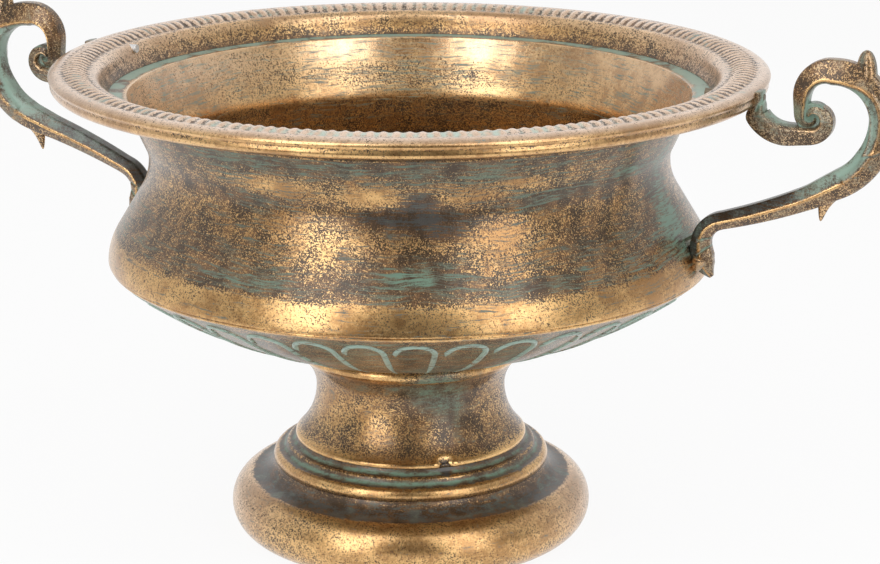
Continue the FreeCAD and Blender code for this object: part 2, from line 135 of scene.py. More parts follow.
# Bowl
BOWL_WALL = 2.0
DISH_SPHERE = 195.0
BELLY_RADIUS = 119.2
SEAM_RIDGE = 1.5
SEAM_STEP = 0.4
SEAM_LAP = 3.6
LAP_GAP = 0.05
BAND_HEIGHT = 10.6
BAND_TAPER = 3.0
BAND_BULGE = 0.7
SHOULDER_ANGLE = 31.5
SHOULDER_CURVE = 26.0
NECK_RADIUS = 102.2
FLARE_CURVE = 12.0
FLARE_ANGLE = 24.0
FLARE_LENGTH = 20.0
FLANGE_WIDTH = 8.2
LEDGE_WIDTH = 2.6

# Scroll lines under the dish
ARCH_SHARE = 0.55
ARCH_START = -10.0
ARCH_TURN = 190.0
ARCH_RADIUS = 105.0
ARCH_RISE = 8.6
ARCH_HALF = 3.9
LEG_RUN = 44.0
LEG_LEAN = 0.4
SCROLL_TURN = 0.9
SCROLL_SINK = 0.1

# Rim
RIM_RISE = 3.4
LOWER_BEAD = 3.7
LOWER_BEAD_INSET = 0.6
LOWER_BULGE = 1.05
UPPER_BEAD = 2.6
BEAD_GROOVE = 1.0
LIP_WIDTH = 5.7
LIP_RISE = 0.9
BORDER_WIDTH = 9.5
BORDER_CROWN = 1.5
BORDER_FALL = 1.1
ROLL_WIDTH = 4.8
ROLL_DEPTH = 3.6
ROLL_CROWN = 1.1
COVE_HOLLOW = 0.3
SEAT_WIDTH = 2.4
SEAT_LAP = 1.2
UNDER_HOLLOW = 2.5
RING_GAP = 0.1
# Flutes at the front and back hold pale verdigris that also paints their pale reflection there
FRONT_CHALK_AND_SHEEN = 38.0
BACK_CHALK_AND_SHEEN = 55.0
# Where the rim's sides get a painted pink sheen
PINK_SHEEN_TURN = 85.0
PINK_SHEEN_SPREAD = 38.0

# Levels and circles of the bowl that several pieces share
SEAM_RADIUS = BELLY_RADIUS - SEAM_STEP
SEAM_TOP = DISH_TOP - SEAM_LAP
SEAM_BOTTOM = SEAM_TOP - SEAM_RIDGE
BAND_TOP = SEAM_TOP + BAND_HEIGHT
BAND_TOP_RADIUS = BELLY_RADIUS - BAND_TAPER
SLOPE = math.radians(SHOULDER_ANGLE)
FLARE = math.radians(FLARE_ANGLE)
CURVE_RADIUS = NECK_RADIUS + SHOULDER_CURVE * (1 - math.cos(SLOPE))
CURVE_LEVEL = BAND_TOP + (BAND_TOP_RADIUS - CURVE_RADIUS) / math.tan(SLOPE)
NECK_LEVEL = CURVE_LEVEL + SHOULDER_CURVE * math.sin(SLOPE)
LOWER_CENTRE = (NECK_RADIUS + SHOULDER_CURVE, NECK_LEVEL)
UPPER_CENTRE = (NECK_RADIUS + FLARE_CURVE, NECK_LEVEL)
FLARE_END_RADIUS = UPPER_CENTRE[0] - FLARE_CURVE * math.cos(FLARE) + FLARE_LENGTH * math.sin(FLARE)
FLANGE_RADIUS = FLARE_END_RADIUS + FLANGE_WIDTH
LIP_BOTTOM = FLANGE_TOP + RIM_RISE

# Handles
ARM_CENTRE = (RIM_RADIUS + 11.5, LIP_BOTTOM + 4.75)
ARM_BEND = 14.0
ARM_LEAD = 1.4
ARM_SWEEP = 90.0
EYE_CENTRE = (ARM_CENTRE[0] + 9.7, ARM_CENTRE[1] - 7.2)
EYE_TURN = 6.3
EYE_END = 2.6
EYE_WEB_RADIUS = 6.0
EYE_WEB_THICKNESS = 6.6
TAIL_START = 1.1
TAIL_TURN = 1.7
LEG_REACH = 4.9
LEG_RADIUS = EYE_CENTRE[0] - LEG_REACH
START_BEND = 10.5
CROWN_BEND = 18.2
CROWN_TOP = ARM_CENTRE[1] + 11.0
SIDE_BEND = 27.7
END_BEND = 10.0
OUTER_HALF = 4.55
BUD_ANGLE = 52.0
BUD_LEAN = 94.0
BUD_TOP = 207.9
START_CENTRE = (LEG_RADIUS + START_BEND, CROWN_TOP - START_BEND)
CROWN_CENTRE = (ARM_CENTRE[0] + 17.8, CROWN_TOP - CROWN_BEND)
SIDE_CENTRE = (CROWN_CENTRE[0] + CROWN_BEND - SIDE_BEND, CROWN_CENTRE[1])
END_RADIUS = BAND_TOP_RADIUS + 3.2
END_CENTRE = (END_RADIUS + END_BEND, BAND_TOP + 4.4)
LEAF_TIP = (END_RADIUS + 4.5, BAND_TOP - 8.4)
LEAF_BOW = 1.1
LOBE_SIDE = 4.4
THORN_PLACE = 0.06
THORN_BASE = (0.5, -1.5)
THORN_TIP = (-2.0, -12.2)
FIRST_LEAF_TIP = 81.5
SECOND_LEAF_END = 93.0
CUT_PLACES = (152.5, 157.5)
ARM_JOG = 1.8
ARM_CREST = -0.55
INNER_FACE = 0.55
BACK_FACE = 0.47
TUCK_DEPTH = 0.8
TUCK_RISE = 30.0

# Bars of the handles: place along the bar, width and thickness there, and the size of the tip
SCROLL_SIZES = (
    (0, 1.2, 7.5),
    (3, 2.2, 9.0),
    (8, 4.6, 10.2),
    (14, 5.6, 10.6),
    (24, 7.6, 10.8),
    (34, 9.6, 11.0),
    (48, 9.8, 11.0),
    (62, 10.0, 11.0),
    (80, 11.0, 11.0),
    (95, 10.8, 11.0),
    (110, 8.8, 10.8),
    (130, 7.6, 10.2),
    (143, 6.8, 9.6),
    (155, 7.4, 10.0),
    (162, 8.8, 9.6),
    (166, 7.0, 8.0),
)
SCROLL_TIP = (1.6, 3.0)
ARM_SIZES = (
    (0, 5.4, 9.4),
    (6.5, 5.4, 9.6),
    (9.5, 8.8, 10.6),
    (22, 8.6, 10.8),
    (32, 7.4, 10.6),
    (41, 5.4, 10.2),
    (47, 3.8, 9.6),
)
ARM_TIP = (2.4, 8.0)

# Stage
CAMERA_PLACE = (0.3746, -0.9272, 0.3857)
CAMERA_TARGET = (0.0121, 0.0016, 0.1024)
CAMERA_AZIMUTH = math.degrees(math.atan2(CAMERA_PLACE[1], CAMERA_PLACE[0]))
SENSOR_WIDTH = 36.0
CLIP_RANGE = (0.05, 50.0)
LAMP_TARGET = (0.0, 0.0, 0.12)
LEFT_SHARE = 1.08
RIGHT_SHARE = 0.94
SWEEP_START = 1.6
WALL_TOP = 4.0
FLOOR_DROP = 0.0004
WHITE = (1.0, 1.0, 1.0, 1.0)

# How finely pieces are worked out
RUN_STEP = 0.15
DENSE = 4096
BEND_FADE = 0.5
SAME_POINT = 1e-9
SECTION_DENSE = 512
SECTION_EASE = 0.12
COLUMNS = 480
STEM_COLUMNS = 660
FLUTE_COLUMNS = 8
WEAR_LIMIT = 0.3
FINISH_LIMITS = (-0.5, 1.5)


# Arithmetic that several pieces share

def running(steps):
    """Running total of steps, from 0."""
    return np.concatenate([[0], np.cumsum(steps)])


def strides(points):
    """Length of each step along a path."""
    return np.hypot(*np.diff(points, axis=0).T)


def read_at(wanted, places, columns, **period):
    """Columns of values known at places, read at the wanted places between them."""
    return np.stack([np.interp(wanted, places, column, **period) for column in columns.T], 1)


def hump(value, width):
    """Soft hump: exp(-(value / width)^2)."""
    return np.exp(-(value / width) ** 2)


def step_up(value, low, high):
    """Smooth step from 0 at low to 1 at high: t^2 (3 - 2 t)."""
    t = np.clip((value - low) / (high - low), 0, 1)
    return t * t * (3 - 2 * t)


def off_turn(azimuth, where, period=360):
    """Degrees from where to azimuth, the short way round the period."""
    return (azimuth - where + period / 2) % period - period / 2


def column_angles(columns):
    """Angle of each column of a round piece, in radians."""
    return 2 * np.pi * np.arange(columns) / columns


# Outlines: runs of (distance from the axis, level) points in millimetres

def spiral(centre, first, last, start, end):
    """Spiral about centre whose radius goes evenly from first to last, in degrees from +r towards +z."""
    count = max(8, int(abs(math.radians(end - start)) * max(first, last) / RUN_STEP))
    angle = np.radians(np.linspace(start, end, count))
    radius = np.linspace(first, last, count)
    return np.stack([centre[0] + radius * np.cos(angle), centre[1] + radius * np.sin(angle)], 1)


def arc(centre, radius, start, end):
    """Circle of that radius about centre from one angle to another, in degrees from +r towards +z."""
    return spiral(centre, radius, radius, start, end)


def straight(a, b):
    """Straight run from a to b."""
    share = np.linspace(0, 1, max(3, int(math.dist(a, b) / RUN_STEP)))[:, None]
    return np.asarray(a) * (1 - share) + np.asarray(b) * share


def bowed(a, b, bow):
    """Run from a to b that bows to the left of its chord: chord plus bow times 4 t (1 - t)."""
    chord = np.subtract(b, a)
    left = np.array([-chord[1], chord[0]]) / np.hypot(*chord)
    points = straight(a, b)
    share = np.linspace(0, 1, len(points))[:, None]
    return points + left * bow * 4 * share * (1 - share)


def sag(radius, r):
    """Rise of a sphere above its lowest point at distance r from the axis."""
    return radius - np.sqrt(radius ** 2 - np.square(r))


def sphere_run(radius, lowest, r_from, r_to):
    """Section of a sphere between two distances from the axis: lowest plus sag."""
    r = np.linspace(r_from, r_to, max(8, int(abs(r_to - r_from) / RUN_STEP)))
    return np.stack([r, lowest + sag(radius, r)], 1)


def blurred(values, spread, length):
    """Values on a closed loop averaged with a Gaussian: each Fourier term times exp(-(k spread)^2 / 2)."""
    terms = np.fft.rfft(values, axis=0)
    wave = 2 * np.pi * np.arange(len(terms)) / length
    fade = np.exp(-0.5 * (wave * spread) ** 2)
    return np.fft.irfft(terms * fade[:, None], len(values), axis=0)


class Outline:
    """A closed profile with eased corners: points, outward normals, bend and finish of each point.

    The runs are read at even steps and blurred, the shape by ease and the finish by fade, in millimetres.
    The points lie closer where the profile bends: their density follows 1 + crowd * |bend|.
    """

    def __init__(self, runs, count, ease=0.3, fade=0.9, crowd=3.0):
        points = np.concatenate([run for run, _ in runs])
        finish = np.concatenate([np.tile(tint, (len(run), 1)) for run, tint in runs])
        r, z = points.T
        area = np.sum(r * np.roll(z, -1) - z * np.roll(r, -1))
        if area < 0:
            points, finish = points[::-1], finish[::-1]
        step = strides(np.vstack([points, points[:1]]))
        length = step.sum()
        even = np.arange(DENSE) * length / DENSE
        dense = read_at(even, running(step)[:-1], np.hstack([points, finish]), period=length)
        shape = blurred(dense[:, :2], ease, length)
        along = np.roll(shape, -1, 0) - np.roll(shape, 1, 0)
        along /= np.hypot(*along.T)[:, None]
        ahead = np.roll(along, -1, 0)
        turn = np.arcsin(np.clip(along[:, 0] * ahead[:, 1] - along[:, 1] * ahead[:, 0], -1, 1))
        bend = turn * DENSE / length
        travelled = running(1 / length + np.abs(bend) * crowd / length)
        place = np.arange(DENSE + 1)
        pick = np.interp(np.linspace(0, travelled[-1], count, endpoint=False), travelled, place)

        def at(columns):
            return read_at(pick, place, np.vstack([columns, columns[:1]]))

        self.points = at(shape)
        normal = at(np.stack([along[:, 1], -along[:, 0]], 1))
        self.normals = normal / np.hypot(*normal.T)[:, None]
        self.bend = at(blurred(bend[:, None], BEND_FADE, length))[:, 0]
        self.finish = at(blurred(dense[:, 2:], fade, length))


# Meshes: grids of points turned into closed shells

def turned(outline, columns=COLUMNS, shift=0.0, wear=1.0):
    """Surface of revolution: (r cos a, r sin a, z) for each column angle a, points moved out by shift.

    Where the profile bulges it is worn bright, and where it is hollow it is filled with verdigris.
    """
    angle = column_angles(columns)
    shift = np.broadcast_to(shift, (columns, len(outline.points)))
    r = outline.points[:, 0] + shift * outline.normals[:, 0]
    z = outline.points[:, 1] + shift * outline.normals[:, 1]
    grid = np.stack([r * np.cos(angle)[:, None], r * np.sin(angle)[:, None], z], 2)
    finish = np.broadcast_to(outline.finish[:, :4], (*grid.shape[:2], 4)).copy()
    worn = np.clip(outline.bend, 0, WEAR_LIMIT) * wear
    filled = np.clip(-outline.bend, 0, WEAR_LIMIT) * wear
    finish[..., 0] += worn - filled
    finish[..., 1] += 0.4 * filled - 0.5 * worn
    return grid, finish


def tinted(grid, *shares):
    """Finish of a grid from its shares of gold, verdigris, soot and blush."""
    return np.stack([np.broadcast_to(share, grid.shape[:-1]) for share in shares], -1)


def patched(grid, finish, patches, inside=False):
    """Adds soft patches of finish, each a Gaussian in azimuth from the camera and in level.

    The share added is amount * exp(-(turn / width)^2 - (rise / height)^2). On the outside each patch comes
    again half a turn further round.
    """
    azimuth = np.degrees(np.arctan2(grid[..., 1], grid[..., 0])) - CAMERA_AZIMUTH
    for where, level, width, height, amounts in patches:
        off = off_turn(azimuth, where, 360 if inside else 180)
        share = np.exp(-(off / width) ** 2 - ((grid[..., 2] - level) / height) ** 2)
        finish[..., :len(amounts)] += share[..., None] * np.asarray(amounts)
    return finish


def loop_faces(rows, columns, wrap_rows):
    """Quads between neighbouring rows of a grid whose columns close on themselves."""
    last = rows if wrap_rows else rows - 1
    i, j = np.meshgrid(np.arange(last), np.arange(columns), indexing="ij")
    up, right = (i + 1) % rows, (j + 1) % columns
    quads = np.stack([i * columns + j, up * columns + j, up * columns + right, i * columns + right], -1)
    return quads.reshape(-1, 4)


def shell(grid, finish, wrap_rows=True):
    """Vertices, faces and finish of one closed shell; open row ends are closed by flat caps."""
    rows, columns = grid.shape[:2]
    points = grid.reshape(-1, 3)
    quads = loop_faces(rows, columns, wrap_rows)
    a, b, c, d = (points[quads[:, k]] for k in range(4))
    middle = points.mean(0)
    volume = np.sum((a - middle) * np.cross(b - middle, c - middle))
    volume += np.sum((a - middle) * np.cross(c - middle, d - middle))
    if volume < 0:
        quads = quads[:, ::-1]
    caps = []
    if not wrap_rows:
        first = np.arange(columns)
        final = first + (rows - 1) * columns
        caps = [first, final[::-1]] if volume > 0 else [first[::-1], final]
    return points, quads, caps, finish.reshape(-1, 4)


def placed(name, data):
    """A new object in the scene that shows the data."""
    thing = bpy.data.objects.new(name, data)
    bpy.context.scene.collection.objects.link(thing)
    return thing


def make_mesh(name, shells):
    """One mesh object of several shells, smooth shaded, with its finish as point attributes."""
    points = np.concatenate([s[0] for s in shells]) * MM
    starts = running([len(s[0]) for s in shells])
    quads = np.concatenate([s[1] + start for s, start in zip(shells, starts)])
    caps = [cap + start for s, start in zip(shells, starts) for cap in s[2]]
    finish = np.clip(np.concatenate([s[3] for s in shells]), *FINISH_LIMITS)
    corners = np.concatenate([quads.ravel()] + caps).astype(np.int32)
    sizes = [4] * len(quads) + [len(cap) for cap in caps]
    mesh = bpy.data.meshes.new(name)
    mesh.vertices.add(len(points))
    mesh.vertices.foreach_set("co", points.astype(np.float32).ravel())
    mesh.loops.add(len(corners))
    mesh.loops.foreach_set("vertex_index", corners)
    mesh.polygons.add(len(sizes))
    mesh.polygons.foreach_set("loop_start", running(sizes)[:-1].astype(np.int32))
    mesh.polygons.foreach_set("use_smooth", np.ones(len(sizes), dtype=bool))
    mesh.update(calc_edges=True)
    if mesh.validate():
        raise RuntimeError(name + " has faces that don't fit together")
    for channel, label in enumerate(CHANNELS):
        attribute = mesh.attributes.new(label, "FLOAT", "POINT")
        attribute.data.foreach_set("value", finish[:, channel].astype(np.float32))
    return placed(name, mesh)


def dress(piece, material, slot, *nodes):
    """Gives a new piece its material and its body, and hides the CAD nodes that it stands for. The slot is
    not used.
    """
    piece.data.materials.append(material)
    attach(piece, "root")
    if nodes:
        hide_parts(*nodes)


# Shader arithmetic

class Field:
    """A shader value that can be used in sums: each operator adds one Math node."""

    def __init__(self, paint, socket):
        self.paint = paint
        self.socket = socket

    def math(self, operation, *values):
        return self.paint.add("ShaderNodeMath", {"operation": operation}, dict(enumerate(values)))

    def __add__(self, other):
        return self.math("ADD", self, other)

    def __sub__(self, other):
        return self.math("SUBTRACT", self, other)

    def __rsub__(self, other):
        return self.math("SUBTRACT", other, self)

    def __mul__(self, other):
        return self.math("MULTIPLY", self, other)

    def __truediv__(self, other):
        return self.math("DIVIDE", self, other)

    __radd__ = __add__
    __rmul__ = __mul__


class Paint:
    """A node tree that is filled by expressions."""

    def __init__(self, owner):
        owner.use_nodes = True
        self.tree = owner.node_tree
        self.tree.nodes.clear()

    def add(self, kind, settings=None, inputs=None, output=0):
        """Adds one node: its settings first, then the values or links of its sockets."""
        node = self.tree.nodes.new(kind)
        for key, value in (settings or {}).items():
            setattr(node, key, value)
        for key, value in (inputs or {}).items():
            if isinstance(value, Field):
                self.tree.links.new(value.socket, node.inputs[key])
            else:
                node.inputs[key].default_value = value
        return Field(self, node.outputs[output]) if node.outputs else None

    def coords(self):
        return self.add("ShaderNodeTexCoord", output="Object")

    def attribute(self, name):
        return self.add("ShaderNodeAttribute", {"attribute_name": name}, output="Fac")

    def noise(self, vector, scale, detail=3.0, rough=0.6, warp=0.0):
        sockets = {"Vector": vector, "Scale": scale, "Detail": detail}
        sockets.update({"Roughness": rough, "Distortion": warp})
        return self.add("ShaderNodeTexNoise", {}, sockets)

    def smooth(self, value, low, high):
        """Smooth step from 0 at low to 1 at high."""
        sockets = {"Value": value, "From Min": low, "From Max": high}
        return self.add("ShaderNodeMapRange", {"interpolation_type": "SMOOTHSTEP"}, sockets)

    def blend(self, share, a, b):
        """Colour a where share is 0 and b where it is 1."""
        return self.add("ShaderNodeMix", {"data_type": "RGBA"}, {0: share, 6: a, 7: b}, output=2)

    def level(self, share, a, b):
        """Value a where share is 0 and b where it is 1."""
        return share * (b - a) + a

    def root(self, value):
        return self.add("ShaderNodeMath", {"operation": "SQRT"}, {0: value})

    def vector(self, x, y, z):
        return self.add("ShaderNodeCombineXYZ", {}, {0: x, 1: y, 2: z})

    def split(self, vector):
        return [self.add("ShaderNodeSeparateXYZ", {}, {0: vector}, output=k) for k in range(3)]

    def ray(self, kind):
        return self.add("ShaderNodeLightPath", output=kind)

    def finish(self, shader_inputs, relief, strength, distance):
        """Closes a material: a Bump node for the relief and the principled shader."""
        bump = {"Height": relief, "Strength": strength, "Distance": distance}
        shader_inputs["Normal"] = self.add("ShaderNodeBump", {}, bump)
        shader = self.add("ShaderNodeBsdfPrincipled", {}, shader_inputs)
        self.add("ShaderNodeOutputMaterial", {}, {"Surface": shader})


def rgba(colour):
    return (*colour, 1.0)


def patina(name, stroke_gain, cloud_gain=0.8, grain_gain=1.3, speckle=0.35):
    """Aged bronze: gold broken by brown specks, brushed verdigris and soot, as the attributes say.

    The specks are noise of about 7, 1.1 and 0.5 mm. Brush strokes run round the axis in lines of about 12
    by 0.8 mm: their noise is read at (turns cos a, turns sin a, rows z). Blush turns gold to pink and
    verdigris to chalk.
    """
    tone = bpy.context.scene.urn_finish
    material = bpy.data.materials.new(name)
    paint = Paint(material)
    place = paint.coords()
    x, y, z = paint.split(place)
    radius = paint.root(x * x + y * y)
    cloud = paint.noise(place, 30.0, 4.0, 0.55) - 0.5
    mottle = paint.noise(place, 140.0, 4.0, 0.6) - 0.5
    sponge = paint.noise(place, 900.0, 3.0, 0.65) - 0.5
    grain = paint.noise(place, 2000.0, 2.0, 0.65) - 0.5
    wave = z + cloud * 0.006
    brush = paint.vector(x / radius * 9.0, y / radius * 9.0, wave * 1250.0)
    bristle = paint.vector(x / radius * 22.0, y / radius * 22.0, wave * 3000.0)
    stroke = paint.noise(brush, 1.0, 4.0, 0.6, 0.2) - 0.5
    hair = paint.noise(bristle, 1.0, 3.0, 0.6) - 0.5
    gild, verdigris, soot, blush = (paint.attribute(channel) for channel in CHANNELS)

    fine = sponge * 1.4 + grain * 2.0 * grain_gain
    cover = (gild - 0.515) * 1.6 + cloud * cloud_gain + mottle * 0.8
    leaf = paint.smooth(cover + fine, -0.10, 0.10)
    reddish = paint.smooth(mottle + grain * 0.7, -0.14, 0.14)
    brown = paint.blend(reddish, rgba(tone.umber), rgba(tone.copper))
    shade = paint.smooth(cloud * 0.9 + mottle * 0.6 - sponge * 0.5 - grain * 0.4, -0.18, 0.18)
    bright = paint.blend(shade, rgba(tone.gold), rgba(tone.old_gold))
    bright = paint.blend(blush * (1 - shade * 0.45), bright, rgba(tone.blush))
    colour = paint.blend(leaf, brown, bright)

    sweep = stroke * 3.5 + hair * 1.8
    smear = sweep * (0.35 + 0.45 * stroke_gain)
    black = paint.smooth(soot + smear + mottle * 1.3 + fine * 0.5, 0.40, 0.64) * 0.9
    colour = paint.blend(black, colour, rgba(tone.soot))

    spread = sweep * stroke_gain + mottle * (2.4 - 1.6 * stroke_gain) + cloud * 1.0 + fine * speckle
    thick = paint.smooth(verdigris, 0.55, 1.0)
    veil = paint.smooth(verdigris + spread, 0.25, 1.0) * paint.level(thick, 0.72, 0.94)
    green = paint.smooth(verdigris + spread * 0.7, 0.62, 1.15)
    crust = paint.blend(green, rgba(tone.veil), rgba(tone.verdigris))
    crust = paint.blend(blush, crust, rgba(tone.chalk))
    colour = paint.blend(veil, colour, crust)

    metal = (leaf * 0.35 + 0.65) * (1 - black * 0.7) * (1 - veil)
    polish = paint.smooth(gild, 0.66, 0.95) * leaf
    rough = 0.50 - leaf * 0.19 - polish * 0.09 + veil * 0.3 + black * 0.1 + sponge * 0.2
    relief = grain + sponge + leaf * 0.25 + veil * 0.35
    sockets = {"Base Color": colour, "Metallic": metal, "Roughness": rough}
    sockets.update({"Coat Weight": 0.8, "Coat Roughness": 0.24})
    paint.finish(sockets, relief, 0.12, 0.00022)
    return material


def plated(name, colour, rough, metal=1.0, tarnish=None):
    """Plain fastener finish: faint scratches and dull spots on one metal or rubber colour.

    A tarnish colour, where there is one, covers what lies on the +X side.
    """
    material = bpy.data.materials.new(name)
    paint = Paint(material)
    place = paint.coords()
    spots = paint.noise(place, 900.0, 4.0, 0.6)
    dull = paint.smooth(spots, 0.35, 0.7)
    shade = paint.blend(dull, rgba(colour), rgba([c * 0.72 for c in colour]))
    if tarnish is not None:
        side = paint.smooth(paint.split(place)[0], -0.01, 0.01)
        shade = paint.blend(side, shade, rgba(tarnish))
    sockets = {"Base Color": shade, "Metallic": metal, "Roughness": dull * 0.18 + rough}
    paint.finish(sockets, spots, 0.2, 0.0001)
    return material


# Pieces

def chain(finish, *points):
    """Straight runs from each point to the next, all in one finish."""
    return [(straight(a, b), finish) for a, b in zip(points, points[1:])]


def graded(run, first, last, parts=8):
    """A run whose finish goes evenly from first to last."""
    shares = np.linspace(0, 1, parts)
    tints = [tuple(np.multiply(first, 1 - s) + np.multiply(last, s)) for s in shares]
    return list(zip(np.array_split(run, parts), tints))


def grooved(run, start, end):
    """A groove's run: a dark edge of soot and painted shade, green from start to end of the run, a dark
    edge again.
    """
    first, last = int(len(run) * start), int(len(run) * end)
    return [(run[:first], EDGE_SOOT_AND_SHADE), (run[first:last], GREEN), (run[last:], EDGE_SOOT_AND_SHADE)]


def foot_outline():
    """Foot profile: round moulding, dark cove, bead, two grooves on a slope, seat, web and hollow."""
    centre = (FOOT_RADIUS - FOOT_ROLL, FOOT_ROLL - FOOT_FLAT)
    flat = math.degrees(math.acos(1 - FOOT_FLAT / FOOT_ROLL))
    roll = arc(centre, FOOT_ROLL, -90 + flat, ROLL_TOP_ANGLE)
    bead_centre = (STEM_FOOT_RADIUS + FOOT_BEAD_OVERHANG - FOOT_BEAD, FOOT_TOP - BEAD_DROP)
    bead = arc(bead_centre, FOOT_BEAD, -BEAD_WRAP, BEAD_TOP_ANGLE)
    cove = bowed(roll[-1], bead[0], FOOT_COVE_SAG)
    half = len(cove) // 2
    bead_side = len(bead) * 2 // 3
    seat = np.array([STEM_FOOT_RADIUS - STEM_LIP / 3, FOOT_TOP])
    ridge_low = bead[-1] + RIDGE_START * (seat - bead[-1])
    ridge_high = bead[-1] + RIDGE_END * (seat - bead[-1])
    hollow = arc(centre, FOOT_ROLL - FOOT_WALL, ROLL_TOP_ANGLE + HOLLOW_LEAN, -90 - ROLL_HEM_ANGLE)
    hem = arc(centre, FOOT_ROLL, -90 - ROLL_HEM_ANGLE, -90 - flat)
    under_bead = (bead_centre[0] - FOOT_BEAD, bead_centre[1] - FOOT_BEAD / 2)
    web_low = FOOT_TOP - FOOT_WEB
    web_edge = (seat[0] - FOOT_WALL / 2, web_low)
    hole_high, hole_low = (BOLT_HOLE_RADIUS, FOOT_TOP), (BOLT_HOLE_RADIUS, web_low)
    return [
        (roll, GOLD),
        (cove[:half], DARK),
        *graded(cove[half:], DARK, DUSK),
        *graded(bead[:bead_side], DUSK, GOLD),
        (bead[bead_side:], GOLD),
        *grooved(bowed(bead[-1], ridge_low, GROOVE_DEPTH), *LOWER_GREEN),
        (straight(ridge_low, ridge_high), BRONZE),
        *grooved(bowed(ridge_high, seat, GROOVE_DEPTH), *UPPER_GREEN),
        *chain(HIDDEN, seat, hole_high, hole_low, web_edge, under_bead, hollow[0]),
        (hollow, HIDDEN),
        (straight(hollow[-1], hem[0]), UMBER),
        (hem, BRONZE),
    ]


def stem_side(shift, low_level):
    """Waisted side of the stem: two arcs that meet at the waist, moved towards the axis by shift."""
    waist = STEM_BOTTOM + STEM_WAIST_HEIGHT
    sides = []
    for level, lip, flare in (
        (low_level, STEM_LIP, STEM_FOOT_RADIUS - STEM_WAIST_RADIUS),
        (STEM_TOP, 0, STEM_TOP_RADIUS - STEM_WAIST_RADIUS),
    ):
        run = STEM_TOP - waist if level == STEM_TOP else waist - STEM_BOTTOM - lip
        bend = (run ** 2 + flare ** 2) / (2 * flare)
        turn = math.degrees(math.asin((waist - level) / (bend + shift)))
        sides.append(arc((STEM_WAIST_RADIUS + bend, waist), bend + shift, 180 + turn, 180))
    return np.vstack([sides[0], sides[1][::-1]])


def stem_outline():
    """Stem profile: waisted outside, flared lip and hollow inside."""
    outside = stem_side(0, STEM_BOTTOM + STEM_LIP)
    inside = stem_side(STEM_WALL, STEM_BOTTOM)
    lip = (STEM_FOOT_RADIUS, STEM_BOTTOM)
    return [
        (straight(lip, outside[0]), GOLD),
        (outside[:len(outside) // 12], GOLD),
        *graded(outside[len(outside) // 12:len(outside) // 3], DUSK, BRONZE),
        (outside[len(outside) // 3:], BRONZE),
        (straight(outside[-1], inside[-1]), HIDDEN),
        (inside[::-1], HIDDEN),
        (straight(inside[0], lip), HIDDEN),
    ]


def collar_outline():
    """Collar profile: beaded outside, flat foot on the stem and a seat for the dish."""
    bore = STEM_TOP_RADIUS - COLLAR_WALL
    seat = sphere_run(DISH_SPHERE, DISH_BOTTOM, bore, STEM_TOP_RADIUS)
    foot = (STEM_TOP_RADIUS, STEM_TOP)
    bulge = COLLAR_RADIUS - STEM_TOP_RADIUS
    return [
        (seat, HIDDEN),
        (bowed(seat[-1], foot, bulge), GOLD),
        *chain(HIDDEN, foot, (bore, STEM_TOP), seat[0]),
    ]


def dish_outline():
    """Dish profile: round underside, seam ridge, lap inside the band and the bowl's floor."""
    ridge_low = (SEAM_RADIUS - SEAM_RIDGE / 2, SEAM_BOTTOM)
    ridge_high = (SEAM_RADIUS - SEAM_STEP, SEAM_TOP)
    lap_out = BELLY_RADIUS - BOWL_WALL - LAP_GAP
    lap_in = lap_out - BOWL_WALL
    under = sphere_run(DISH_SPHERE, DISH_BOTTOM, BOLT_HOLE_RADIUS, ridge_low[0])
    inner = sphere_run(DISH_SPHERE - BOWL_WALL, DISH_BOTTOM + BOWL_WALL, lap_in, BOLT_HOLE_RADIUS)
    return [
        (under, MOSSY),
        (bowed(under[-1], ridge_high, -SEAM_STEP), GOLD),
        *chain(HIDDEN, ridge_high, (lap_out, SEAM_TOP), (lap_out, DISH_TOP)),
        *chain(UMBER, (lap_out, DISH_TOP), (lap_in, DISH_TOP), inner[0]),
        (inner, BRONZE),
        (straight(inner[-1], under[0]), HIDDEN),
    ]


def body_outline():
    """Body profile: shoulder band, waisted neck, flared mouth and flat flange, of one wall all through."""
    band_low = (BELLY_RADIUS, SEAM_TOP)
    band_high = (BAND_TOP_RADIUS, BAND_TOP)
    belly_in = BELLY_RADIUS - BOWL_WALL
    lower = arc(LOWER_CENTRE, SHOULDER_CURVE, 180 + SHOULDER_ANGLE, 180)
    upper = arc(UPPER_CENTRE, FLARE_CURVE, 180, 180 - FLARE_ANGLE)
    lower_in = arc(LOWER_CENTRE, SHOULDER_CURVE + BOWL_WALL, 180, 180 + SHOULDER_ANGLE)
    upper_in = arc(UPPER_CENTRE, FLARE_CURVE + BOWL_WALL, 180 - FLARE_ANGLE, 180)
    flange_low = FLANGE_TOP - BOWL_WALL
    flare_end = (FLARE_END_RADIUS, flange_low)
    flange_edge = (FLANGE_RADIUS, flange_low)
    flange_lip = (FLANGE_RADIUS, FLANGE_TOP)
    mouth = (upper_in[0][0] + (FLANGE_TOP - upper_in[0][1]) * math.tan(FLARE), FLANGE_TOP)
    ledge = (mouth[0] + LEDGE_WIDTH, FLANGE_TOP)
    corner = (belly_in, lower_in[-1][1] - (belly_in - lower_in[-1][0]) / math.tan(SLOPE))
    lap = (belly_in, SEAM_TOP)
    return [
        (bowed(band_low, band_high, -BAND_BULGE), GOLD),
        (straight(band_high, lower[0]), VEILED),
        (lower, BRONZE),
        (upper, BRONZE),
        (straight(upper[-1], flare_end), VEILED),
        (straight(flare_end, flange_edge), UMBER),
        (straight(flange_edge, flange_lip), HIDDEN),
        (straight(flange_lip, ledge), LEDGE),
        *graded(straight(ledge, mouth), LEDGE, INSIDE),
        (straight(mouth, upper_in[0]), INSIDE),
        (upper_in, INSIDE),
        (lower_in, BRONZE),
        *chain(UMBER, lower_in[-1], corner, lap),
        (straight(lap, band_low), HIDDEN),
    ]


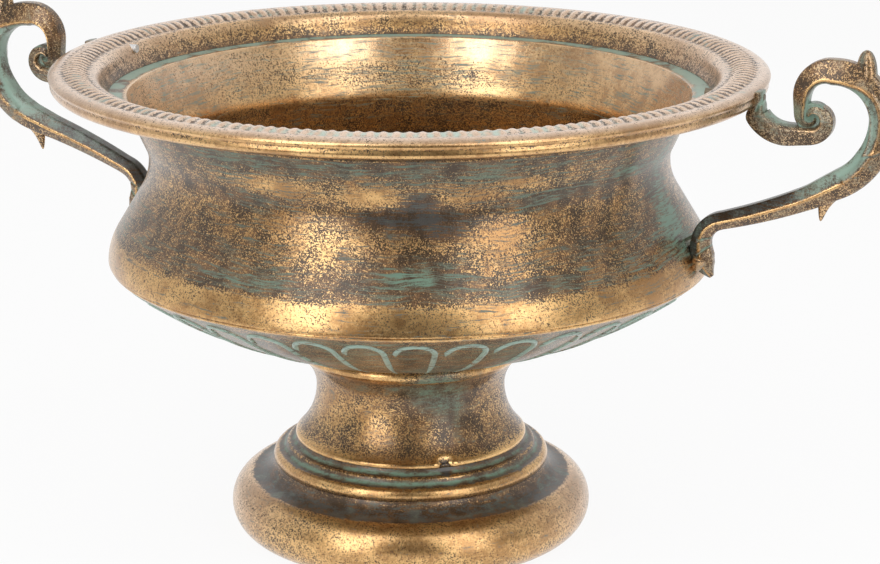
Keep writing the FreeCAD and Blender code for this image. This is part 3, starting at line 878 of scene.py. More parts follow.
def rim_outline():
    """Rim profile: two beads, rolled lip, fluted border, inner roll, cove and seat on the flange."""
    groove_radius = RIM_RADIUS - BEAD_GROOVE
    bead_low = (RIM_RADIUS - LOWER_BEAD_INSET - LOWER_BEAD / 2, LIP_BOTTOM)
    groove = (groove_radius, LIP_BOTTOM + LOWER_BEAD)
    lip_low = (groove_radius, groove[1] + UPPER_BEAD)
    lip_high = (RIM_RADIUS - LIP_WIDTH, lip_low[1] + LIP_RISE)
    border_in = (lip_high[0] - BORDER_WIDTH, lip_high[1] - BORDER_FALL)
    roll_in = (border_in[0] - ROLL_WIDTH, border_in[1] - ROLL_DEPTH)
    seat_in = (FLANGE_RADIUS - SEAT_WIDTH, FLANGE_TOP)
    step_high = (FLANGE_RADIUS + RING_GAP, FLANGE_TOP)
    step_low = (step_high[0], FLANGE_TOP - SEAT_LAP)
    cove = bowed(roll_in, seat_in, COVE_HOLLOW)
    foot = len(cove) * 3 // 4
    return [
        (bowed(bead_low, groove, -LOWER_BULGE), GOLD),
        (bowed(groove, lip_low, -BEAD_GROOVE), GOLD),
        (bowed(lip_low, lip_high, -LIP_RISE / 2), LIP),
        (bowed(lip_high, border_in, -BORDER_CROWN), BORDER),
        (bowed(border_in, roll_in, -ROLL_CROWN), ROLLED),
        (cove[:foot], COVE),
        # Painted shade: the foot of the cove, next to the ledge, is darker umber
        (cove[foot:], UMBER),
        *chain(HIDDEN, seat_in, step_high, step_low),
        (bowed(step_low, bead_low, UNDER_HOLLOW), UMBER),
    ]


def make_foot():
    """The foot, turned from its outline."""
    grid, finish = turned(Outline(foot_outline(), 190, ease=0.25, fade=0.6), wear=0.4)
    return make_mesh("foot_casting", [shell(grid, patched(grid, finish, FOOT_PATCHES))])


def make_stem():
    """The stem, with a chip bitten out of its lip.

    The chip presses the lip in by depth * exp(-(across / width)^4), fading out up the side. The metal round
    it is thrown up along an oval by height * exp(-((reach - radius) / width)^2). Reach is the distance from
    the chip, with across divided by BURR_LENGTH.
    """
    outline = Outline(stem_outline(), 150)
    off = off_turn(np.degrees(column_angles(STEM_COLUMNS)), NICK_AZIMUTH)
    across = (np.radians(off) * STEM_FOOT_RADIUS)[:, None]
    level = outline.points[:, 1] - STEM_BOTTOM
    outside = outline.normals[:, 0] > 0.1
    chip = np.exp(-(across / NICK_WIDTH) ** 4) * step_up(-level, -NICK_TOP, -NICK_FULL) * outside
    reach_out = np.hypot(across / BURR_LENGTH, level - BURR_LEVEL)
    burr = hump(reach_out - BURR_RADIUS, BURR_WIDTH) * outside
    grid, finish = turned(outline, STEM_COLUMNS, BURR_HEIGHT * burr - NICK_DEPTH * chip)
    finish = patched(grid, finish, STEM_PATCHES)
    # Painted shade in the chip: less gold and more soot; the burr round it is rubbed bright
    finish[..., 0] += 0.3 * burr - 0.5 * chip
    finish[..., 2] += 0.5 * chip
    return make_mesh("stem_casting", [shell(grid, finish)])


def make_collar():
    """The collar, turned from its outline."""
    grid, finish = turned(Outline(collar_outline(), 70, ease=0.2), 400)
    return make_mesh("collar_ring", [shell(grid, patched(grid, finish, COLLAR_PATCHES))])


def scroll_lines(count, width, height):
    """Raised lines under the dish: each a hook that arches out and runs in along a radius.

    On the arch the radius is ARCH_RADIUS + ARCH_RISE sin(arch) and the turn -ARCH_HALF cos(arch). Then the
    radius falls by LEG_RUN. The section is an oval, half sunk into the dish.
    """
    share = np.linspace(0, 1, 34)
    arch = np.radians(np.clip(share / ARCH_SHARE, 0, 1) * ARCH_TURN + ARCH_START)
    leg = np.clip((share - ARCH_SHARE) / (1 - ARCH_SHARE), 0, 1)
    r = ARCH_RADIUS + ARCH_RISE * np.sin(arch) - leg * LEG_RUN
    turn = np.radians(leg * LEG_LEAN - ARCH_HALF * np.cos(arch))
    angle = (np.radians(CAMERA_AZIMUTH + SCROLL_TURN) + column_angles(count))[:, None] + turn
    level = np.broadcast_to(DISH_BOTTOM + sag(DISH_SPHERE, r), angle.shape)
    path = np.stack([r * np.cos(angle), r * np.sin(angle), level], -1)
    ahead = np.gradient(path, axis=1)
    ahead /= np.linalg.norm(ahead, axis=-1, keepdims=True)
    out = path - np.array([0, 0, DISH_BOTTOM + DISH_SPHERE])
    out /= np.linalg.norm(out, axis=-1, keepdims=True)
    side = np.cross(ahead, out)
    around = column_angles(10)
    taper = np.clip(np.minimum(share / 0.06, (1 - share) / 0.3), 0.25, 1)[:, None]
    across = 0.5 * width * np.cos(around) * taper
    lift = (height * np.sin(around) - SCROLL_SINK) * taper
    grids = path[:, :, None] + side[:, :, None] * across[..., None] + out[:, :, None] * lift[..., None]
    finish = tinted(grids, 0.2, 1.0, 0.0, 0.55)
    return [shell(g, f, wrap_rows=False) for g, f in zip(grids, finish)]


def make_dish():
    """The dish, turned from its outline, with the scroll lines on its underside."""
    size = bpy.context.scene.urn_bowl
    dish = shell(*turned(Outline(dish_outline(), 180, ease=0.25)))
    lines = scroll_lines(size.scroll_count, size.scroll_width / MM, size.scroll_height / MM)
    return make_mesh("dish_pressing", [dish] + lines)


# Patches: azimuth from the camera, level, width in degrees, height and what is added to the finish. Some of
# them paint highlights, sheen and shade, as marked.
NICK_TURN = NICK_AZIMUTH - CAMERA_AZIMUTH
FOOT_PATCHES = [
    (-60, 11, 25, 12, (-0.1, 0.1, 0.1)),
    (70, 11, 20, 12, (-0.1, 0.05, 0.0)),
    (0, 2, 60, 7, (-0.12, 0.05, 0.0)),
    # Painted sheen: pink on the sides of the roll, where the camera sees it edge-on
    (-72, 18, 22, 8, (0.0, 0.0, 0.0, 0.5)),
    (72, 18, 22, 8, (0.0, 0.0, 0.0, 0.5)),
    # Painted shade: the foot is dark under the stem's chip
    (NICK_TURN, FOOT_TOP - 1.2, 2.2, 1.6, (-0.3, -1.2, 0.9)),
    (NICK_TURN + 2, FOOT_TOP - 3.0, 5, 0.8, (0.4, -0.6, -0.2)),
]
STEM_PATCHES = [
    (24, 63, 16, 8, (-0.2, 0.6, 0.0)),
    (5, 65, 14, 6, (-0.15, 0.4, 0.05)),
    (28, 53, 12, 6, (-0.1, 0.35, 0.0)),
    (-22, 54, 18, 14, (0.06, -0.1, 0.0)),
    (-58, 55, 20, 15, (0.12, -0.1, 0.0)),
    (-4, 70, 30, 3, (-0.1, 0.3, 0.1)),
]
COLLAR_PATCHES = [(14, COLLAR_BOTTOM, 22, 8, (-0.6, 1.0, 0.0))]
BODY_PATCHES = [
    (1, 153.5, 13, 3.2, (-0.4, -0.1, 0.75)),
    (2, 160, 4, 4, (-0.3, -0.1, 0.6)),
    (6, 148.5, 6, 2.5, (-0.3, 0.0, 0.45)),
    (-7, 162, 7, 4, (0.35, -0.3, 0.0)),
    (-28, 163.5, 9, 4, (0.3, -0.25, 0.0)),
    (9, 162, 5, 3, (0.2, -0.2, 0.0)),
    (23, 166, 8, 4, (0.15, -0.1, 0.0)),
    (27, 157, 8, 3, (-0.2, 0.5, 0.0)),
    (52, 163, 7, 3, (-0.2, 0.5, 0.0)),
    (-34, 157, 9, 4, (-0.2, 0.4, 0.0)),
    # Painted highlights: more gold on the neck where the two lamps reflect
    (-17, 141, 7.5, 13, (0.11, -0.3, 0.0)),
    (18, 141, 8, 13, (0.08, -0.3, 0.0)),
    (0, 146, 7, 4, (0.15, -0.2, 0.0)),
    (0, 133, 12, 5, (-0.25, 0.4, 0.0)),
    (1, 135, 4, 4, (0.0, 0.3, 0.0)),
    (8, 139, 5, 2, (0.0, 0.3, 0.0)),
    (-28, 130, 12, 4, (-0.2, 0.3, 0.1)),
    (24, 129, 10, 3, (-0.2, 0.3, 0.05)),
    # Painted shade under the rim, with verdigris strokes: less gold at the top of the neck, front and back
    (0, 175, 60, 4, (-0.15, 0.2, 0.0)),
    (-32, 171, 20, 4, (-0.1, 0.25, 0.0)),
    (16, 170, 14, 3, (-0.1, 0.3, 0.0)),
    (36, 160, 12, 3, (-0.1, 0.3, 0.0)),
    (66, 145, 7, 22, (-0.2, 0.85, 0.0)),
    (-48, 138, 18, 9, (-0.05, 0.0, 0.05)),
    (44, 138, 14, 10, (-0.05, -0.05, 0.0)),
]
WALL_PATCHES = [
    # Painted highlights: paler, pinker gold where the lamps reflect on the far inner wall
    (164, 177, 9, 6, (0.4, -0.1, 0.0, 0.4)),
    (195, 177, 9, 6, (0.4, -0.1, 0.0, 0.4)),
    (180, 168, 50, 5, (-0.1, 0.15, 0.0)),
    (180, 162, 14, 6, (-0.12, 0.26, 0.0)),
    # Painted light: the inner side walls are made paler and pinker, as if more brightly lit
    (118, 177, 28, 10, (0.26, -0.1, 0.0, 0.3)),
    (242, 176, 28, 10, (0.06, 0.05, 0.0, 0.45)),
]


def make_body():
    """The body, turned from its outline, with patches of their own inside and outside."""
    outline = Outline(body_outline(), 200)
    grid, finish = turned(outline)
    outer = (outline.normals[:, 0] > -0.2)[:, None]
    wall = patched(grid, finish.copy(), WALL_PATCHES, inside=True)
    finish = np.where(outer, patched(grid, finish, BODY_PATCHES), wall)
    return make_mesh("body_pressing", [shell(grid, finish)])


def make_rim():
    """The rim, with its border cut into flutes: depth times 1 - ((1 + cos(flutes a)) / 2)^1.5.

    Pale verdigris fills the flutes at the front and back, also painting their pale reflection there, and a
    thin dark stripe of painted shade lies in the others. The sides of the ring are pinker than its front
    and back, a painted sheen.
    """
    size = bpy.context.scene.urn_rim
    outline = Outline(rim_outline(), 62, ease=0.2, crowd=4.0)
    angle = column_angles(size.flute_count * FLUTE_COLUMNS)
    phase = size.flute_count * (angle - math.radians(CAMERA_AZIMUTH))
    hollow = 1 - (0.5 + 0.5 * np.cos(phase)) ** 1.5
    border = np.clip(outline.finish[:, 4] * 1.25, 0, 1)
    cut = hollow[:, None] * border
    grid, finish = turned(outline, len(angle), -size.flute_depth / MM * cut, wear=0.3)
    off = np.abs(off_turn(np.degrees(angle), CAMERA_AZIMUTH))
    # Pale verdigris at the front and back, which also stands in for the pale reflection in the flutes there
    chalk_and_sheen = hump(off, FRONT_CHALK_AND_SHEEN) + 0.6 * hump(off - 180, BACK_CHALK_AND_SHEEN)
    # Painted shade: a thin dark stripe in the flutes away from the front and back
    flute_shade = (hollow ** 4 * (1 - chalk_and_sheen))[:, None] * border
    finish[..., 0] -= 0.1 * cut + 0.6 * flute_shade
    finish[..., 1] += (0.1 + 0.75 * chalk_and_sheen)[:, None] * cut
    finish[..., 2] += 0.3 * flute_shade
    # Painted sheen: the rim is made pinker where the camera sees its sides edge-on
    beside = hump(off - PINK_SHEEN_TURN, PINK_SHEEN_SPREAD)[:, None]
    finish[..., 3] += 0.75 * beside * (0.9 - finish[..., 3])
    return make_mesh("rim_casting", [shell(grid, finish)])


# Handles

def resampled(points, step, ease):
    """An open path at even steps, its bends eased by averaging with a Gaussian of that width."""
    length = running(strides(points))
    keep = np.concatenate([[True], np.diff(length) > SAME_POINT])
    even = np.linspace(0, length[-1], int(length[-1] / step) + 1)
    path = read_at(even, length[keep], points[keep])
    reach_back = int(3 * ease / step)
    before = 2 * path[0] - path[reach_back:0:-1]
    after = 2 * path[-1] - path[-2:-reach_back - 2:-1]
    longer = np.vstack([before, path, after])
    weight = np.exp(-0.5 * (np.arange(-reach_back, reach_back + 1) * step / ease) ** 2)
    weight /= weight.sum()
    return even, np.stack([np.convolve(c, weight, "valid") for c in longer.T], 1)


def bar_sizes(length, rows, tip):
    """Width and thickness along a bar, read between rows of place, width and thickness, and its tip."""
    sizes = np.array([*rows, (length[-1], *tip)])
    return read_at(length, sizes[:, 0], sizes[:, 1:]).T


def section(count):
    """Unit bar section: six-sided, flat inner face at +1, side arris at 0, narrower back at -1."""
    half = np.array([(1, INNER_FACE), (0, 1.0), (-1, BACK_FACE)])
    loop = np.vstack([half, half[::-1] * (1, -1), half[:1]])
    length = running(strides(loop))
    even = np.arange(SECTION_DENSE) * length[-1] / SECTION_DENSE
    soft = blurred(read_at(even, length, loop), SECTION_EASE, length[-1])
    return soft[::SECTION_DENSE // count]


def flank(height, crest):
    """Half width of a bar at a height of its section: 1 at the crest, falling evenly to both faces."""
    inner = 1 - (1 - INNER_FACE) * (height - crest) / (1 - crest)
    back = 1 - (1 - BACK_FACE) * (crest - height) / (1 + crest)
    return np.where(height > crest, inner, back)


def swept(path, width, thickness, crest, lift, count=64):
    """Bar section carried along a path in the handle's plane.

    Each point is path + normal * (n * width / 2 + shift), and thickness / 2 * y across the plane. The shift
    keeps the outer edge of a wide bar OUTER_HALF from the path. Crest is the height n of the side arris.
    Lift is a function of n that gives the millimetres added to the sides.
    """
    ahead = np.gradient(path, axis=0)
    ahead /= np.hypot(*ahead.T)[:, None]
    normal = np.stack([ahead[:, 1], -ahead[:, 0]], 1)
    unit = section(count)
    shift = np.clip(width / 2 - OUTER_HALF, 0, None)
    n = unit[:, 0] * width[:, None] / 2 + shift[:, None]
    height = np.clip(unit[:, 0], -1, 1)
    y = unit[:, 1] * flank(height, crest[:, None]) / flank(height, 0) * thickness[:, None] / 2
    side = np.clip((np.abs(unit[:, 1]) - 0.3) / 0.3, 0, 1) * np.sign(unit[:, 1])
    y = y + side * lift(unit[:, 0])
    r = path[:, :1] + normal[:, :1] * n
    z = path[:, 1:] + normal[:, 1:] * n
    return np.stack([r, y, z], -1), unit[:, 0]


def lower_bar():
    """Ends of the straight bar that touches the side bend and the end bend on opposite sides."""
    span = np.subtract(END_CENTRE, SIDE_CENTRE)
    bends = SIDE_BEND + END_BEND
    heading = math.atan2(span[1], span[0]) - math.atan2(bends, math.sqrt(span @ span - bends ** 2))
    left = np.array([-math.sin(heading), math.cos(heading)])
    return np.add(SIDE_CENTRE, SIDE_BEND * left), np.subtract(END_CENTRE, END_BEND * left)


def scroll_path(bow):
    """Spine of the scroll: tail in the eye, leg, crown, side bend, bar that bows, end bend and leaf."""
    start, end = lower_bar()
    side_turn = math.degrees(math.atan2(start[1] - SIDE_CENTRE[1], start[0] - SIDE_CENTRE[0]))
    end_turn = math.degrees(math.atan2(end[1] - END_CENTRE[1], end[0] - END_CENTRE[0]))
    return np.vstack([
        spiral(EYE_CENTRE, TAIL_START, TAIL_TURN, 390, 270),
        spiral(EYE_CENTRE, TAIL_TURN, LEG_REACH, 270, 180),
        straight((LEG_RADIUS, EYE_CENTRE[1]), (LEG_RADIUS, START_CENTRE[1])),
        arc(START_CENTRE, START_BEND, 180, 90),
        straight((START_CENTRE[0], CROWN_TOP), (CROWN_CENTRE[0], CROWN_TOP)),
        arc(CROWN_CENTRE, CROWN_BEND, 90, 0),
        arc(SIDE_CENTRE, SIDE_BEND, 0, side_turn),
        bowed(start, end, bow),
        arc(END_CENTRE, END_BEND, end_turn, 180),
        bowed((END_RADIUS, END_CENTRE[1]), LEAF_TIP, -LEAF_BOW),
    ])


def tuck(grid):
    """Moves points that would reach through the bowl to TUCK_DEPTH under its outer skin."""
    body = np.vstack([run for run, _ in body_outline()[:5]])
    order = np.argsort(body[:, 1])
    skin = np.interp(grid[..., 2], body[order, 1], body[order, 0], left=0, right=0)
    r = np.hypot(grid[..., 0], grid[..., 1])
    short = np.clip(skin - TUCK_DEPTH - r, 0, None) * (grid[..., 2] < BAND_TOP + TUCK_RISE)
    grid[..., 0] += short
    return grid


def scroll_bar(bow):
    """The long scroll with two overlapping leaves on its sides and cuts in its lower leaf.

    Places along it are millimetres from its tail, and n is the height in the bar's section.
    """
    length, path = resampled(scroll_path(bow), 0.45, 1.2)
    width, thickness = bar_sizes(length, SCROLL_SIZES, SCROLL_TIP)
    at = length[:, None]

    def first_leaf(n):
        """Distance inside the edge of the leaf that ends in a point on the side bend."""
        inner = 0.95 - 0.35 * step_up(at, 60, FIRST_LEAF_TIP)
        outer = -1.25 + 1.85 * step_up(at, 68, FIRST_LEAF_TIP)
        return np.minimum(inner - n, n - outer) * 5

    def second_leaf(n):
        """Distance inside the edge of the blunt leaf under the first one."""
        return np.minimum((SECOND_LEAF_END - at) * 0.8, (0.5 - n) * 5)

    def cuts(n):
        """Two slanting cuts across the outer half of the end leaf."""
        near = [hump((at - place) - (n + 0.9) * 2.6, 0.6) for place in CUT_PLACES]
        return np.maximum(*near) * step_up(0.35 - n, 0, 0.3)

    def leaves(n):
        """Height of the leaves with their raised edges, less the vein and the cuts."""
        first, second = first_leaf(n), second_leaf(n)
        began = step_up(at, 44, 54)
        top = began * (0.9 * step_up(first, 0, 0.6) + 0.6 * hump(first - 0.7, 0.4))
        under = step_up(at, 66, 72) * 0.7 * step_up(second, 0, 0.7)
        vein = 0.4 * hump(n + 0.25, 0.1) * began * (1 - step_up(at, 64, 72))
        return np.maximum(top, under) - vein - cuts(n)

    crest = 0.6 - 0.6 * step_up(length, 40, 56)
    grid, n = swept(path, width, thickness, crest, leaves)
    began = step_up(at, 46, 56) * (1 - step_up(at, 92, 95))
    edges = began * (hump(first_leaf(n) - 0.7, 0.5) + 0.4 * hump(second_leaf(n) - 0.6, 0.5))
    ground = began * hump(first_leaf(n) + 0.3, 0.45)
    above = n - crest[:, None]
    arris = hump(above, 0.12) * step_up(at, 6, 20) * (1 - 0.6 * began)
    inner = step_up(above, 0.08, 0.3)
    eye = 1 - step_up(at, 12, 22)
    lower = step_up(at, 88, 100)
    end = step_up(at, 98, 120)
    leafy = step_up(at, 40, 50) * (1 - lower)
    gild = 0.40 + 0.5 * arris + 0.5 * edges - 0.35 * ground - 0.34 * inner
    verdigris = 0.22 + 0.14 * leafy + 0.12 * lower + 0.5 * inner - 0.3 * arris + 0.35 * ground
    verdigris = verdigris + 0.4 * eye + 0.7 * cuts(n) - 0.5 * inner * end - 0.3 * edges
    soot = (0.25 * lower + 0.45 * end) * inner + 0.2 * leafy + 0.4 * ground
    blush = 0.15 + 0.3 * inner - 0.15 * arris
    return shell(tuck(grid), tinted(grid, gild, verdigris, soot, blush), wrap_rows=False)


def arm_bar():
    """The arm from under the rim's lip, round its bend and on into the curl of the eye."""
    low = (ARM_CENTRE[0] - ARM_BEND, ARM_CENTRE[1])
    bend = arc(ARM_CENTRE, ARM_BEND, 180, 180 + ARM_SWEEP)
    curl = spiral(EYE_CENTRE, EYE_TURN, EYE_END, 270, 510)
    runs = [straight((low[0], low[1] + ARM_LEAD), low), bend, straight(bend[-1], curl[0]), curl]
    length, path = resampled(np.vstack(runs), 0.4, 1.0)
    path[:, 0] += ARM_JOG * (1 - step_up(length, 5.5, 10))
    width, thickness = bar_sizes(length, ARM_SIZES, ARM_TIP)
    at = length[:, None]

    def notch(n):
        """Slanting notch near the rim."""
        return -0.9 * hump((at - 6.0) - (n + 0.2) * 3.0, 0.9) * step_up(-n, -0.3, 0.1)

    grid, n = swept(path, width, thickness, np.full(len(path), ARM_CREST), notch)
    arris = hump(n - ARM_CREST, 0.14) * step_up(at, 26, 34)
    inner = step_up(-n, 0.7, 0.95)
    gild = 0.44 + 0.25 * arris - 0.25 * inner
    verdigris = 0.48 - 0.15 * arris - 0.9 * notch(n) + 0.3 * inner
    return shell(grid, tinted(grid, gild, verdigris, 0.2, 0.25), wrap_rows=False)


def eye_web():
    """Sunk floor between the turns of the eye: a disc with a rounded edge and hollow faces."""
    rows = np.linspace(-1, 1, 41)[:, None]
    radius = EYE_WEB_RADIUS * np.sqrt(1.0001 - np.abs(rows) ** 8)
    hollow = 1 - 0.3 * (1 - (radius / EYE_WEB_RADIUS) ** 2)
    depth = np.clip(rows * 1.3, -1, 1) * hollow * EYE_WEB_THICKNESS / 2
    angle = column_angles(72)
    r = EYE_CENTRE[0] + radius * np.cos(angle)
    z = EYE_CENTRE[1] + radius * np.sin(angle)
    grid = np.stack([r, np.broadcast_to(depth, r.shape), z], -1)
    return shell(grid, tinted(grid, 0.2, 0.95, 0.0, 0.2), wrap_rows=False)


def leaf_bud(base, tip, radius, shape, petals=0, lean=0.0, side=0.0, flat=1.0, blunt=0.0):
    """Bud or thorn from base to tip, in the handle's plane moved sideways by side.

    The radius along it is radius * (1 - t^a)^b + blunt * (1 - t^8)^0.5 with shape (a, b). It is grooved
    into petals by 1 - 0.2 (1 - |cos(petals angle / 2)|), its axis bows aside by lean * (t^2 - t), and flat
    squeezes its sides.
    """
    t = np.linspace(0, 0.997, 30)[:, None]
    angle = column_angles(48)
    axis = np.subtract(tip, base)
    across = np.array([-axis[1], axis[0]]) / np.hypot(*axis)
    swell = radius * (1 - t ** shape[0]) ** shape[1] + blunt * np.sqrt(1 - t ** 8)
    crest = np.abs(np.cos(petals * angle / 2))
    spread = swell * (1 - 0.2 * (1 - crest))
    aside = spread * np.cos(angle) + lean * (t ** 2 - t)
    r = base[0] + axis[0] * t + across[0] * aside
    z = base[1] + axis[1] * t + across[1] * aside
    grid = np.stack([r, flat * spread * np.sin(angle) + side, z], -1)
    finish = tinted(grid, 0.2 + 0.35 * crest, 0.65 - 0.4 * crest, 0.0, 0.2)
    return shell(grid, finish, wrap_rows=False)


def make_handles():
    """Both handles: one casting and its copy turned half round, each with its own sag in the bar."""
    size = bpy.context.scene.urn_handles
    crown = math.radians(BUD_ANGLE)
    lean = math.radians(BUD_LEAN)
    bud = np.add(CROWN_CENTRE, np.multiply(CROWN_BEND, (math.cos(crown), math.sin(crown))))
    bud_tip = bud + (BUD_TOP - bud[1]) * np.array([math.cos(lean) / math.sin(lean), 1])
    start, end = lower_bar()
    root = start + THORN_PLACE * (end - start)
    lobe = (END_RADIUS + 0.8, BAND_TOP - 0.5)
    lobe_end = (END_RADIUS - 1.2, LEAF_TIP[1] + 2.8)
    ornaments = [
        eye_web(),
        arm_bar(),
        leaf_bud(bud, bud_tip, 4.1, (3.2, 0.5), petals=3),
        leaf_bud(root + THORN_BASE, root + THORN_TIP, 4.4, (0.7, 1.3), lean=1.5, flat=0.7, blunt=0.8),
        *(leaf_bud(lobe, lobe_end, 2.6, (3, 0.5), side=side) for side in (LOBE_SIDE, -LOBE_SIDE)),
    ]
    pieces = []
    for name, turn, bow in (
        ("handle_casting_right", 1, size.right_sag / MM),
        ("handle_casting_left", -1, size.left_sag / MM),
    ):
        half_round = np.array([turn, turn, 1])
        sides = [(s[0] * half_round, *s[1:]) for s in [scroll_bar(bow), *ornaments]]
        pieces.append(make_mesh(name, sides))
    return pieces


# Operators

class BuildOperator(bpy.types.Operator):
    """Shared options of the urn's operators"""
    bl_options = {"REGISTER", "UNDO"}


class URN_OT_foot(BuildOperator):
    """Build the foot, the stem and the collar"""
    bl_idname = "urn.foot"
    bl_label = "Foot, stem and collar"

    def execute(self, context):
        material = patina("stem_patina_paint", 0.35)
        dress(make_foot(), material, "stem_patina", "foot")
        dress(make_stem(), material, "stem_patina", "stem")
        dress(make_collar(), material, "stem_patina", "stem_collar")
        return {"FINISHED"}


class URN_OT_bowl(BuildOperator):
    """Build the dish with its raised scroll lines and the body of the bowl"""
    bl_idname = "urn.bowl"
    bl_label = "Bowl"

    def execute(self, context):
        material = patina("bowl_patina_paint", 1.0)
        dress(make_dish(), material, "bowl_patina", "bowl_dish")
        dress(make_body(), material, "bowl_patina", "bowl_body")
        return {"FINISHED"}


class URN_OT_rim(BuildOperator):
    """Build the fluted rim"""
    bl_idname = "urn.rim"
    bl_label = "Rim"

    def execute(self, context):
        material = patina("rim_patina_paint", 0.3, cloud_gain=0.5, grain_gain=0.9)
        dress(make_rim(), material, "rim_patina", "rim_ring")
        return {"FINISHED"}


class URN_OT_handles(BuildOperator):
    """Build the two scroll handles"""
    bl_idname = "urn.handles"
    bl_label = "Handles"

    def execute(self, context):
        material = patina("handle_patina_paint", 0.1, grain_gain=1.1, speckle=0.6)
        right, left = make_handles()
        dress(right, material, "handle_patina", "handle_right")
        dress(left, material, "handle_patina", "handle_left")
        return {"FINISHED"}


class URN_OT_fasteners(BuildOperator):
    """Give the rivets, screws, washers, bolt, nut and seal their finish"""
    bl_idname = "urn.fasteners"
    bl_label = "Fasteners"

    def execute(self, context):
        tone = context.scene.urn_finish
        paints = {
            "bright_rivet": plated("bright_rivet_paint", tone.rivet, 0.42, 0.4, tone.tarnish),
            "plated_fastener": plated("plated_fastener_paint", tone.plating, 0.34),
            "seal_rubber": plated("seal_rubber_paint", tone.rubber, 0.6, 0.0),
        }
        for part in frame["record"]["subparts"]:
            paint = paints.get(part["material_slot"])
            if paint is not None:
                slots = frame["nodes"][part["node"]].material_slots
                if not slots:
                    raise RuntimeError(part["node"] + " has no material slot")
                for slot in slots:
                    slot.material = paint
        return {"FINISHED"}


class URN_OT_stage(BuildOperator):
    """Set up the pale floor and backdrop, two tall soft lamps and the camera"""
    bl_idname = "urn.stage"
    bl_label = "Stage"

    def execute(self, context):
        make_backdrop()
        make_lamps()
        make_camera()
        return {"FINISHED"}


def aim(holder, place, target):
    """Puts a lamp or camera at a place and turns it towards a target."""
    holder.location = place
    heading = Vector(target) - Vector(place)
    holder.rotation_euler = heading.to_track_quat("-Z", "Y").to_euler()


def make_backdrop():
    """Pale sweep: flat floor, then a quarter round of one metre radius up to a wall behind the urn."""
    stage = bpy.context.scene.urn_stage
    azimuth = math.radians(CAMERA_AZIMUTH)
    away = -np.array([math.cos(azimuth), math.sin(azimuth)])
    side = np.array([-away[1], away[0]])
    bend = np.radians(np.linspace(0, 90, 24))
    out = np.concatenate([[-stage.table_front], SWEEP_START + np.sin(bend), [SWEEP_START + 1]])
    up = np.concatenate([[0.0], 1 - np.cos(bend), [WALL_TOP]])
    across = np.linspace(-stage.table_width / 2, stage.table_width / 2, 9)
    plan = out[:, None, None] * away + across[None, :, None] * side
    level = np.broadcast_to(up[:, None, None] - FLOOR_DROP, (len(out), len(across), 1))
    points = np.concatenate([plan, level], -1)
    rows, columns = points.shape[:2]
    quads = loop_faces(rows, columns, False)
    quads = quads[(quads[:, 0] % columns) != columns - 1]
    mesh = bpy.data.meshes.new("backdrop")
    mesh.from_pydata(points.reshape(-1, 3).tolist(), [], quads[:, ::-1].tolist())
    mesh.polygons.foreach_set("use_smooth", np.ones(len(mesh.polygons), dtype=bool))
    material = bpy.data.materials.new("backdrop_paint")
    paint = Paint(material)
    grain = paint.noise(paint.coords(), 3.0, 2.0)
    shade = paint.blend(grain, rgba(stage.backdrop), rgba([c * 0.985 for c in stage.backdrop]))
    matt = paint.add("ShaderNodeBsdfDiffuse", {}, {"Color": shade})
    glow = paint.add("ShaderNodeEmission", {}, {"Color": WHITE, "Strength": 1.0})
    seen = paint.ray("Is Camera Ray") + paint.ray("Is Glossy Ray") + paint.ray("Is Transmission Ray")
    share = paint.smooth(seen, 0.0, 1.0) * stage.backdrop_glow
    mixed = paint.add("ShaderNodeMixShader", {}, {0: share, 1: matt, 2: glow})
    paint.add("ShaderNodeOutputMaterial", {}, {"Surface": mixed})
    mesh.materials.append(material)
    sweep = placed("backdrop", mesh)


def make_lamps():
    """Two tall soft lamps either side of the camera, and a room that is pale except behind the camera."""
    stage = bpy.context.scene.urn_stage
    front = math.radians(CAMERA_AZIMUTH)
    flat = stage.lamp_distance * math.cos(stage.lamp_rise)
    level = LAMP_TARGET[2] + stage.lamp_distance * math.sin(stage.lamp_rise)
    for name, side, share in (("lamp_left", -1, LEFT_SHARE), ("lamp_right", 1, RIGHT_SHARE)):
        azimuth = front + side * stage.lamp_turn
        lamp = bpy.data.lights.new(name, "AREA")
        lamp.shape = "RECTANGLE"
        lamp.size = stage.lamp_width
        lamp.size_y = stage.lamp_height
        lamp.energy = stage.lamp_power * share
        place = (flat * math.cos(azimuth), flat * math.sin(azimuth), level)
        aim(placed(name, lamp), place, LAMP_TARGET)
    world = bpy.data.worlds.new("studio")
    bpy.context.scene.world = world
    paint = Paint(world)
    x, y, _ = paint.split(paint.add("ShaderNodeTexCoord", output="Generated"))
    ahead = x * math.cos(front) + y * math.sin(front)
    room = paint.level(paint.smooth(ahead, -0.15, 0.75), stage.side_light, stage.room_light)
    strength = room + (1 - room) * paint.ray("Is Camera Ray")
    room = paint.add("ShaderNodeBackground", {}, {"Color": WHITE, "Strength": strength})
    paint.add("ShaderNodeOutputWorld", {}, {"Surface": room})


def make_camera():
    """The camera at the photograph's viewing angle."""
    camera = bpy.data.cameras.new("camera")
    camera.lens = bpy.context.scene.urn_stage.camera_lens
    camera.sensor_width = SENSOR_WIDTH
    camera.clip_start, camera.clip_end = CLIP_RANGE
    holder = placed("camera", camera)
    aim(holder, CAMERA_PLACE, CAMERA_TARGET)
    bpy.context.scene.camera = holder
    bpy.context.scene.view_settings.view_transform = "Standard"


# Settings

def number_setting(name, description, default, **more):
    return FloatProperty(name=name, description=description, default=default, **more)


def length_setting(name, description, default):
    return number_setting(name, description, default, min=0.0, unit="LENGTH", precision=5)


def colour_setting(name, description, default):
    return FloatVectorProperty(
        name=name, description=description, default=default, min=0.0, max=1.0, size=3, subtype="COLOR"
    )


class UrnRim(bpy.types.PropertyGroup):
    flute_count: IntProperty(name="Flutes", description="Flutes round the border", default=182, min=24)
    flute_depth: length_setting("Flute depth", "How deep each flute is cut", 0.00045)


